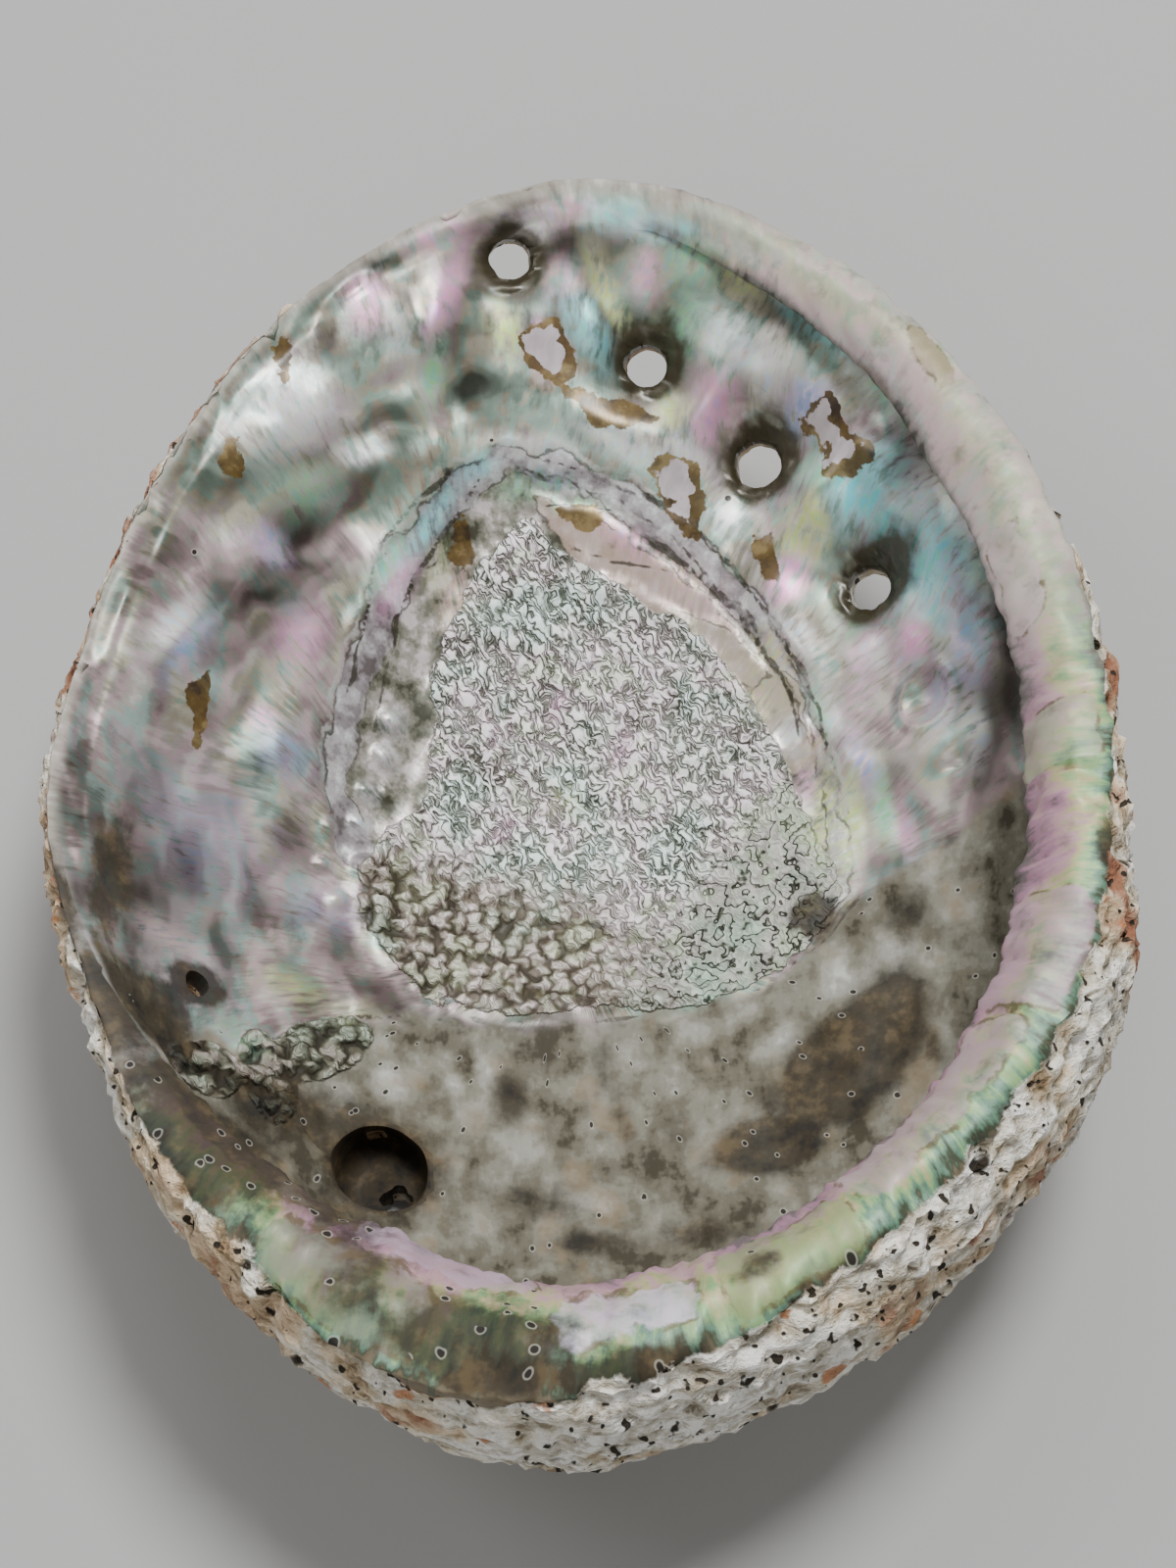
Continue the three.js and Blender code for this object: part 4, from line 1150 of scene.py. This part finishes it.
def shell_material(settings):
    """One wall with all its finishes, each laid over the last where its mask says."""
    material = bpy.data.materials.new("abalone_wall")
    material.use_nodes = True
    tree = material.node_tree
    tree.nodes.clear()
    s = Sketch(tree)
    where = s.node("ShaderNodeTexCoord").outputs["Object"]
    silver_and_highlight, dusk_and_shade, chalk_tone = tuple(settings.silver_and_highlight), tuple(settings.dusk_and_shade), tuple(settings.chalk)
    scar_tone = tuple(settings.scar)

    # Grains that all the finishes share.
    grit_a, grit_b, grit_c = s.three_noises(where, GRIT_FINENESS, 4, 0.62)
    wide, middle, narrow = s.channels(s.mask("drift", "Color"))
    bands = s.mask("drift", "Alpha")
    feathers = s.noise(s.squeeze(s.mask("way", "Color"), (1, 0.20, 0)), 0.85, 3, 0.55, "2D")

    # Nacre: bands of bright and dark nacre, feathered, which stand partly for painted fold highlights and
    # shade, with a painted pastel sheen that wanders through the hues as each place turns from the camera.
    flash, flash_amount = s.mask("flash", "Color"), s.mask("flash", "Alpha")
    level = s.total((bands, 0.24), (feathers, 0.42), (grit_a, 0.30))
    # Painted shade: the shade mask darkens the nacre's tone.
    shade = s.fit(s.total((s.mask("shade"), 1.0), (grit_a, 0.8), (feathers, 0.7), (bands, -0.12),
                          (-0.75, 1.0)), 0.10, 0.95)
    level = s.minus(s.plus(level, 0.080), s.times(shade, 0.33))
    # The flashes lift the tone as a painted highlight.
    level = s.plus(level, s.times(flash_amount, 0.26))
    nacre = s.ramp(level,
                   ((0.10, dusk_and_shade), (0.30, (0.120, 0.108, 0.100)), (0.46, (0.26, 0.24, 0.232)),
                    (0.62, (0.46, 0.44, 0.43)), (0.84, silver_and_highlight)))
    sheen = s.total((s.mask("lean"), 1.7), (middle, 0.22), (grit_b, 0.60), (wide, 0.15), (feathers, 0.35),
                    (-0.5, 1.0))
    sheen = s.math("PINGPONG", sheen, 0.76)
    sheen = s.ramp(sheen,
                   ((0.04, (0.74, 1.12, 0.94)), (0.14, (1.08, 1.05, 0.80)), (0.26, (1.02, 1.00, 0.93)),
                    (0.36, (1.18, 0.90, 0.98)), (0.47, (1.03, 1.00, 0.93)), (0.58, (0.74, 1.10, 1.04)),
                    (0.70, (1.03, 0.95, 1.02))))
    nacre = s.blend(0.95, nacre, sheen, "MULTIPLY")
    flash_share = s.times(flash_amount,
                          s.fit(s.total((feathers, 0.6), (grit_b, 0.4)), 0.38, 0.56, 0.25, 1.25),
                          clamp=True)
    sparks = s.ramp(s.total((feathers, 0.8), (grit_b, 0.6)),
                    ((0.52, (0.16, 0.60, 0.48)), (0.62, (0.74, 0.79, 0.84)), (0.70, (0.84, 0.42, 0.72)),
                     (0.78, (0.62, 0.72, 0.26)), (0.86, (0.30, 0.60, 0.90))))
    flash = s.blend(0.3, flash, sparks)
    nacre = s.blend(flash_share, nacre, flash)
    # Stain and painted shade darken the nacre round each hole.
    hole_stain_and_shade = s.plus(s.mask("hole_stain_and_shade"), s.swing(grit_a, 0.7))
    nacre = s.blend(s.fit(hole_stain_and_shade, 0.10, 0.66, 0.0, 0.95), nacre, (0.042, 0.034, 0.015))
    growth = s.math("PINGPONG", s.total((s.mask("growth"), 1.0), (grit_a, 0.10)), 0.5)
    line = s.times(s.fit(growth, 0.006, 0.022, 1, 0), s.fit(grit_c, 0.46, 0.62, 0, 0.12))
    nacre = s.blend(line, nacre, (0.07, 0.055, 0.045))

    # Plates inside the ridge, each with its own tone.
    plates = s.mask("plates", "Color")
    ridge_gap, inner_gap, crown_gap = s.channels(plates)
    side_gap = s.mask("plates", "Alpha")
    rough_edge = s.swing(grit_a, 3.6)
    plate_gaps = (ridge_gap, inner_gap, crown_gap, side_gap)
    ridge_gap, inner_gap, crown_gap, side_gap = (s.plus(gap, rough_edge) for gap in plate_gaps)
    # The plates' tone is darkened by the same painted shade.
    plate_light = s.total((feathers, 0.08), (grit_b, 1.05), (middle, 0.14), (shade, -0.14), (0.01, 1.0))
    band_tone = s.ramp(plate_light,
                       ((0.38, (0.12, 0.10, 0.10)), (0.50, (0.28, 0.25, 0.26)), (0.60, (0.50, 0.48, 0.48)),
                        (0.72, silver_and_highlight)))
    inner_tone = s.ramp(plate_light,
                        ((0.40, (0.05, 0.05, 0.03)), (0.50, (0.16, 0.16, 0.12)), (0.59, (0.36, 0.33, 0.29)),
                         (0.68, (0.66, 0.60, 0.60))))
    crown_tone = s.ramp(plate_light,
                        ((0.30, (0.24, 0.17, 0.12)), (0.5, (0.46, 0.35, 0.28)), (0.75, (0.62, 0.50, 0.46))))
    side_tone = s.ramp(plate_light,
                       ((0.30, (0.22, 0.19, 0.12)), (0.5, (0.42, 0.37, 0.28)), (0.75, (0.60, 0.50, 0.46))))
    colour = nacre
    for gap, tone in ((ridge_gap, band_tone), (inner_gap, inner_tone),
                      (crown_gap, crown_tone), (side_gap, side_tone)):
        colour = s.blend(s.fit(gap, -PLATE_SOFTNESS, PLATE_SOFTNESS), colour, tone)
    on_plates = s.fit(ridge_gap, -0.2, 0.4)
    colour = s.blend(s.times(s.times(flash_share, on_plates), 0.9), colour, flash)
    crack = s.math("MINIMUM", s.math("MINIMUM", s.size(ridge_gap), s.size(inner_gap)),
                   s.math("MINIMUM", s.size(crown_gap), s.size(side_gap)))
    crack_share = s.times(s.fit(crack, 0.06, 0.30, 1, 0), s.fit(grit_c, 0.42, 0.56, 0.0, 0.7))
    colour = s.blend(crack_share, colour, (0.035, 0.028, 0.018))
    layer_gap = s.plus(s.mask("layer_line"), s.swing(grit_b, 1.0))
    layer_share = s.times(s.fit(layer_gap, 0.16, 0.34, 1, 0), s.fit(grit_c, 0.38, 0.52, 0.30, 0.85))
    colour = s.blend(layer_share, colour, (0.035, 0.030, 0.018))
    # Painted glint: a pale line just outside the ridge's outer step, left out where the scar is knobby.
    glint = s.times(s.fit(s.size(s.plus(ridge_gap, 0.7)), 0.1, 0.5, 1, 0),
                    s.fit(grit_b, 0.4, 0.6, 0.0, 0.55))
    glint = s.times(glint, s.fit(s.mask("knobby"), 0.0, 0.3, 1.0, 0.0))
    colour = s.blend(glint, colour, (0.72, 0.72, 0.70))

    # The wall below the crease: cloudy beige, worn matt, with white patches; its tones are kept dark, partly
    # as painted shade under the overhanging lip.
    low = s.mask("low_wall")
    layers, pores = crust_pattern(s, where)
    streaks = s.noise(s.squeeze(where, (1, 0.45, 0.45)), STREAK_FINENESS, 4, 0.62)
    low_level = s.total((grit_b, 0.56), (streaks, 0.70), (grit_c, 0.50), (narrow, 0.08), (middle, 0.08),
                        (s.mask("pale"), 0.28), (-0.42, 1.0))
    low_tone = s.ramp(low_level,
                      ((0.30, (0.050, 0.042, 0.024)), (0.42, (0.145, 0.134, 0.096)),
                       (0.53, (0.225, 0.215, 0.170)), (0.65, (0.33, 0.325, 0.275)),
                       (0.82, (0.56, 0.56, 0.52))))
    ochre = s.fit(s.total((narrow, 0.35), (streaks, 0.9), (grit_c, 0.3)), 0.70, 0.90, 0.0, 0.5)
    low_tone = s.blend(ochre, low_tone, (0.21, 0.135, 0.055))
    colour = s.blend(s.fit(s.total((low, 1.0), (grit_a, 0.9)), 0.6, 1.35), colour, low_tone)

    # The muscle scar: crests painted pale as highlights over gaps painted dark as shade, knobs at its lower
    # left, torn flakes at its lower right.
    scar_share = s.fit(s.plus(s.mask("scar"), rough_edge), -0.15, 0.25)
    scar_share = s.most(scar_share, s.fit(s.plus(s.mask("rugged"), s.minus(grit_a, 0.5)), 0.3, 0.5))
    crests = scar_pattern(s, where, s.mask("knobby"), s.mask("flaky"))
    # Painted light and shade of the scar's relief: pale crests, dark gaps, with a little tone of its own.
    crest_light_and_gap_shade = s.total((crests, 0.62), (grit_b, 0.40), (middle, 0.05))
    scar_colour = s.ramp(crest_light_and_gap_shade,
                         ((0.22, (0.050, 0.045, 0.032)), (0.36, (0.23, 0.23, 0.20)), (0.50, scar_tone),
                          (0.66, (1.0, 1.0, 0.99))))
    knob_colour = s.ramp(crest_light_and_gap_shade,
                         ((0.20, (0.042, 0.034, 0.018)), (0.36, (0.15, 0.135, 0.095)),
                          (0.55, (0.34, 0.33, 0.265)), (0.78, (0.72, 0.71, 0.63))))
    scar_colour = s.blend(s.fit(s.total((s.mask("knobby"), 1.0), (grit_c, 1.2)), 0.6, 1.5), scar_colour,
                          knob_colour)
    scar_tint = s.ramp(s.total((middle, 0.3), (grit_c, 0.8)),
                       ((0.2, (0.84, 1.08, 0.98)), (0.34, (0.99, 1.02, 0.96)), (0.47, (1.12, 0.92, 1.02)),
                        (0.58, (0.98, 1.04, 0.84))))
    scar_colour = s.blend(0.65, scar_colour, scar_tint, "MULTIPLY")
    scar_colour = s.blend(s.times(s.mask("flaky"), 0.9), scar_colour, (0.50, 0.56, 0.48), "MULTIPLY")
    scar_colour = s.blend(s.times(s.mask("rugged"), 0.9), scar_colour, (0.50, 0.50, 0.46), "MULTIPLY")
    scar_flash = s.times(flash_amount, s.fit(grit_b, 0.42, 0.56, 0.0, 0.75))
    scar_colour = s.blend(scar_flash, scar_colour, flash)
    colour = s.blend(scar_share, colour, scar_colour)
    crease_share = s.times(s.fit(s.plus(s.mask("crease"), s.times(grit_a, 1.4)), 0.8, 1.1, 1, 0),
                           s.fit(grit_c, 0.36, 0.5, 0.3, 0.9))
    colour = s.blend(crease_share, colour, (0.05, 0.04, 0.025))

    # The inner lip: darkened at its very inner edge as painted shade under the lip, then pink at its inner
    # side, straw and green in the middle, teal outside, a dark band near its outer border that is partly
    # painted shadow of the ledge, with later panels.
    lip = s.fit(s.total((s.mask("lip"), 1.0), (grit_a, 0.5)), 0.5, 0.9)
    lip_place = s.total((s.mask("lip_place"), 0.85), (grit_b, 0.42), (feathers, 0.34), (-0.38, 1.0))
    lip_tone = s.ramp(lip_place,
                      ((0.08, (0.055, 0.055, 0.040)), (0.20, (0.17, 0.13, 0.14)),
                       (0.31, (0.44, 0.24, 0.33)), (0.43, (0.56, 0.35, 0.38)), (0.52, (0.54, 0.50, 0.26)),
                       (0.61, (0.30, 0.50, 0.22)), (0.69, (0.15, 0.29, 0.20)), (0.77, (0.07, 0.085, 0.05)),
                       (0.84, (0.20, 0.16, 0.10))))
    # Towards the front the lip is one broad pearly band, also darkened at its inner edge as painted shade.
    pearl_tone = s.ramp(lip_place,
                        ((0.08, (0.10, 0.085, 0.08)), (0.22, (0.40, 0.36, 0.34)),
                         (0.36, (0.60, 0.52, 0.50)), (0.50, (0.56, 0.53, 0.44)),
                         (0.62, (0.44, 0.46, 0.36)), (0.72, (0.62, 0.54, 0.50)),
                         (0.84, (0.66, 0.62, 0.54))))
    # The pearly band takes the same painted sheen.
    pearl_tone = s.blend(0.5, pearl_tone, sheen, "MULTIPLY")
    lip_tone = s.blend(s.times(s.mask("pearly"), 0.85), lip_tone, pearl_tone)
    panel_gap_now = s.plus(s.mask("panel", "Alpha"), s.swing(grit_a, 3.0))
    panel_tone = s.blend(s.fit(grit_b, 0.35, 0.65, 0.0, 0.5), s.mask("panel", "Color"), lip_tone)
    lip_tone = s.blend(s.times(s.fit(panel_gap_now, -0.1, 0.3), 0.85), lip_tone, panel_tone)
    panel_line = s.times(s.fit(s.size(panel_gap_now), 0.12, 0.45, 1, 0), s.fit(grit_c, 0.44, 0.6, 0.0, 0.8))
    lip_tone = s.blend(panel_line, lip_tone, (0.14, 0.10, 0.04))
    lip_tone = s.blend(s.fit(grit_c, 0.52, 0.74, 0.0, 0.5), lip_tone, (0.12, 0.12, 0.08))
    colour = s.blend(lip, colour, lip_tone)
    edge_tone = s.ramp(s.total((grit_b, 0.6), (feathers, 0.5)),
                       ((0.35, (0.24, 0.21, 0.17)), (0.55, (0.44, 0.40, 0.34)), (0.75, (0.66, 0.62, 0.56))))
    colour = s.blend(s.times(s.mask("edge"), 0.85), colour, edge_tone)

    # Amber windows of bare conchiolin, some worn through to pale nacre; brown stains.
    torn = s.swing(grit_a, 6.0)
    amber_share = s.times(s.fit(s.plus(s.mask("amber"), torn), -0.1, 0.25), 0.95)
    amber_tone = s.ramp(s.total((grit_b, 0.7), (grit_c, 0.4)),
                        ((0.42, (0.030, 0.016, 0.004)), (0.56, (0.125, 0.075, 0.017)),
                         (0.68, (0.28, 0.20, 0.075))))
    core = s.fit(s.minus(s.plus(s.mask("bare_core"), torn), 1.3), -0.1, 0.2)
    amber_tone = s.blend(core, amber_tone, (0.66, 0.58, 0.60))
    colour = s.blend(amber_share, colour, amber_tone)
    stain = s.total((s.mask("stain"), 1.0), (grit_b, 0.9), (grit_a, 0.3))
    stain_share = s.total((s.fit(stain, 0.80, 1.22), 0.90), (s.fit(s.mask("stain"), 1.2, 1.5), 0.10))
    stain_tone = s.ramp(grit_c,
                        ((0.36, (0.008, 0.005, 0.002)), (0.5, (0.030, 0.020, 0.007)),
                         (0.68, (0.10, 0.068, 0.028))))
    colour = s.blend(stain_share, colour, stain_tone)

    # The crust outside: chalk in thin layers, with pores and slots painted near black as shade in their
    # hollows, brick-red and orange growths.
    crust_share_now = s.fit(s.total((s.mask("crust"), 1.0), (grit_a, 3.0)), 1.2, 1.7)
    chalk = s.ramp(s.total((layers, 0.75), (grit_b, 0.35)),
                   ((0.34, (0.075, 0.058, 0.035)), (0.43, (0.29, 0.245, 0.18)), (0.51, chalk_tone),
                    (0.62, (0.96, 0.94, 0.89))))
    tan = s.ramp(s.total((middle, 0.5), (grit_c, 0.9), (s.mask("tan"), 0.5)),
                 ((0.30, (1.10, 1.10, 1.08)), (0.52, (1.0, 0.96, 0.86)), (0.68, (0.90, 0.73, 0.52)),
                  (0.9, (0.72, 0.52, 0.33))))
    chalk = s.blend(0.9, chalk, tan, "MULTIPLY")
    red_share = s.fit(s.total((s.mask("red"), 0.8), (grit_b, 0.8)), 0.72, 0.98, 0.0, 0.92)
    red_tone = s.ramp(s.total((layers, 0.6), (grit_c, 0.5)),
                      ((0.36, (0.10, 0.032, 0.016)), (0.52, (0.30, 0.11, 0.055)),
                       (0.70, (0.52, 0.33, 0.22))))
    chalk = s.blend(red_share, chalk, red_tone)
    orange = s.times(s.fit(narrow, 0.62, 0.72), s.fit(grit_c, 0.42, 0.56, 0.0, 0.85))
    chalk = s.blend(orange, chalk, (0.52, 0.20, 0.06))
    chalk = s.blend(pores, chalk, (0.030, 0.022, 0.012))
    colour = s.blend(crust_share_now, colour, chalk)

    # Borers' pinholes with a pale ring.
    spots = s.node("ShaderNodeTexVoronoi", voronoi_dimensions="2D")
    unbent = s.node("ShaderNodeCombineXYZ")
    s.feed(unbent.inputs[0], s.mask("way", "Alpha"))
    s.feed(unbent.inputs[1], s.channels(s.mask("way", "Color"))[2])
    s.feed(spots.inputs["Vector"], s.squeeze(unbent.outputs[0], (1.3, 1, 0)))
    s.feed(spots.inputs["Scale"], 0.26)
    pick, size, _ = s.channels(spots.outputs["Color"])
    gap = s.minus(spots.outputs["Distance"], s.times(size, 0.07))
    drilled = s.most(s.times(low, 0.10), s.times(s.times(s.mask("stain"), s.mask("lip")), 0.5))
    drilled = s.times(s.most(drilled, 0.003), s.fit(s.mask("stain"), 1.2, 1.4, 1.0, 0.0))
    drilled = s.times(s.math("LESS_THAN", pick, drilled), s.minus(1.0, s.most(scar_share, crust_share_now)))
    pinhole = s.times(s.fit(gap, 0.07, 0.10, 1, 0), drilled)
    pin_ring = s.times(s.times(s.fit(gap, 0.08, 0.11), s.fit(gap, 0.13, 0.18, 1, 0)), drilled)
    colour = s.blend(s.times(pin_ring, 0.42), colour, (0.60, 0.58, 0.50))
    colour = s.blend(s.times(pinhole, 0.95), colour, (0.012, 0.008, 0.005))

    matt = s.most(s.times(low, 0.9), crust_share_now)
    matt = s.most(matt, s.times(stain_share, 0.9))
    semi = s.most(s.times(scar_share, 0.55), s.most(s.times(lip, 0.38), s.times(s.mask("edge"), 0.75)))
    dull = s.most(matt, semi)
    roughness = s.blend_value(dull, s.fit(feathers, 0.3, 0.7, 0.26, 0.46), 0.86)
    roughness = s.blend_value(amber_share, roughness, 0.30)
    shine = s.minus(1.0, dull, clamp=True)

    scar_height = s.times(crests, s.times(scar_share, SCAR_GRAIN * MM))
    crust_height = s.times(s.minus(layers, s.times(pores, 0.6)), s.times(crust_share_now, CRUST_GRAIN * MM))
    height = s.plus(s.plus(scar_height, s.times(feathers, FEATHER_GRAIN * MM)), crust_height)
    bump = s.node("ShaderNodeBump")
    bump.inputs["Strength"].default_value = 1.0
    bump.inputs["Distance"].default_value = 1.0
    s.feed(bump.inputs["Height"], height)

    wall = s.node("ShaderNodeBsdfPrincipled")
    s.feed(wall.inputs["Base Color"], colour)
    s.feed(wall.inputs["Roughness"], roughness)
    s.feed(wall.inputs["Metallic"],
           s.times(shine, s.fit(s.total((feathers, 0.6), (grit_b, 0.6)), 0.46, 0.76, 0.12, 0.46)))
    s.feed(wall.inputs["Coat Weight"], s.times(shine, 0.18))
    wall.inputs["Coat Roughness"].default_value = 0.24
    s.feed(wall.inputs["Normal"], bump.outputs[0])
    out = s.node("ShaderNodeOutputMaterial")
    s.feed(out.inputs["Surface"], wall.outputs[0])
    return material


# ---- Operators ----


class ABALONE_OT_build_shell(bpy.types.Operator):
    """Build the abalone shell as one closed skin over the CAD shell"""

    bl_idname = "abalone.build_shell"
    bl_label = "Build Shell"
    bl_options = {"REGISTER", "UNDO"}

    def execute(self, context):
        settings = context.scene.abalone
        shell, turn, along = grow_skin()
        carve_relief(shell, turn, along)
        for number, (x, y, bore, lean, _, _) in enumerate(HOLES):
            cut(shell, drill_cutter(x, y, bowl_level(x, y), bore, lean, 1.06, number * 3.1))
        x, y, bore, lean = BORER
        cut(shell, drill_cutter(x, y, bowl_level(x, y), bore, lean, 1.5, 17.0))
        cut(shell, pit_cutter())
        x, y = OPENING_PLACE
        cut(shell, drill_cutter(x, y, 6.0, 4.6, 0, 1.0, 23.0, 0.35))
        paint_masks(shell)
        shell.data.materials.clear()
        shell.data.materials.append(shell_material(settings))
        deselect_all()
        shell.select_set(True)
        context.view_layer.objects.active = shell
        bpy.ops.object.shade_smooth_by_angle(angle=settings.smooth_angle)
        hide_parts("abalone_shell")
        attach(shell, "root")
        return {"FINISHED"}


class ABALONE_OT_build_stage(bpy.types.Operator):
    """Add the pale floor, the soft studio lights and the camera"""

    bl_idname = "abalone.build_stage"
    bl_label = "Build Stage"
    bl_options = {"REGISTER", "UNDO"}

    def execute(self, context):
        stage = context.scene.abalone_stage
        deselect_all()
        bpy.ops.mesh.primitive_plane_add(size=6)
        floor = context.object
        floor.name = floor.data.name = "floor"
        material = bpy.data.materials.new("floor_paper")
        material.use_nodes = True
        principled = material.node_tree.nodes["Principled BSDF"]
        principled.inputs["Base Color"].default_value = (*stage.floor, 1)
        principled.inputs["Roughness"].default_value = 0.8
        floor.data.materials.append(material)

        target = Vector((0.001, 0.004, 0.030))
        back = Vector((0, -math.cos(stage.elevation), math.sin(stage.elevation)))
        bpy.ops.object.camera_add(location=target + back * stage.distance,
                                  rotation=(math.pi / 2 - stage.elevation, 0, 0))
        camera = context.object
        camera.name = "camera"
        camera.data.lens = stage.lens
        camera.data.sensor_width = 36
        camera.data.clip_start = 0.01
        context.scene.camera = camera

        for name, place, power, size in (
            ("key_light", (0.25, 0.32, 1.20), 16.0, 0.40),
            ("sheen_light", (-0.15, 0.75, 1.25), 3.5, 0.65),
            ("fill_light", (-0.35, -1.0, 0.9), 3.5, 0.8),
            ("side_light", (-0.95, 0.25, 0.95), 2.8, 0.5),
        ):
            bpy.ops.object.light_add(type="AREA", location=place)
            light = context.object
            light.name = name
            light.data.energy = power
            light.data.shape = "DISK"
            light.data.size = size
            light.rotation_euler = (Vector((0, 0,
                                            0.03)) - Vector(place)).to_track_quat("-Z", "Y").to_euler()
        world = bpy.data.worlds.new("studio")
        world.use_nodes = True
        world.node_tree.nodes["Background"].inputs["Color"].default_value = (0.80, 0.80, 0.80, 1)
        world.node_tree.nodes["Background"].inputs["Strength"].default_value = 0.2
        context.scene.world = world
        return {"FINISHED"}


class ABALONE_PT_panel(bpy.types.Panel):
    """Lists the shell's operators and settings"""

    bl_idname = "ABALONE_PT_panel"
    bl_label = "Abalone Shell"
    bl_space_type = "VIEW_3D"
    bl_region_type = "UI"
    bl_category = "Abalone"

    def draw(self, context):
        for name, operator in (("abalone", "abalone.build_shell"),
                               ("abalone_stage", "abalone.build_stage")):
            settings = getattr(context.scene, name)
            box = self.layout.box()
            box.operator(operator)
            for label in settings.__annotations__:
                box.prop(settings, label)


CLASSES = (AbaloneSettings, StageSettings, ABALONE_OT_build_shell, ABALONE_OT_build_stage, ABALONE_PT_panel)


def register():
    for item in CLASSES:
        bpy.utils.register_class(item)
    bpy.types.Scene.abalone = bpy.props.PointerProperty(type=AbaloneSettings)
    bpy.types.Scene.abalone_stage = bpy.props.PointerProperty(type=StageSettings)


def unregister():
    del bpy.types.Scene.abalone_stage
    del bpy.types.Scene.abalone
    for item in reversed(CLASSES):
        bpy.utils.unregister_class(item)


def main():
    register()
    bpy.ops.abalone.build_stage()
    bpy.ops.abalone.build_shell()


if __name__ == "__main__":
    main()
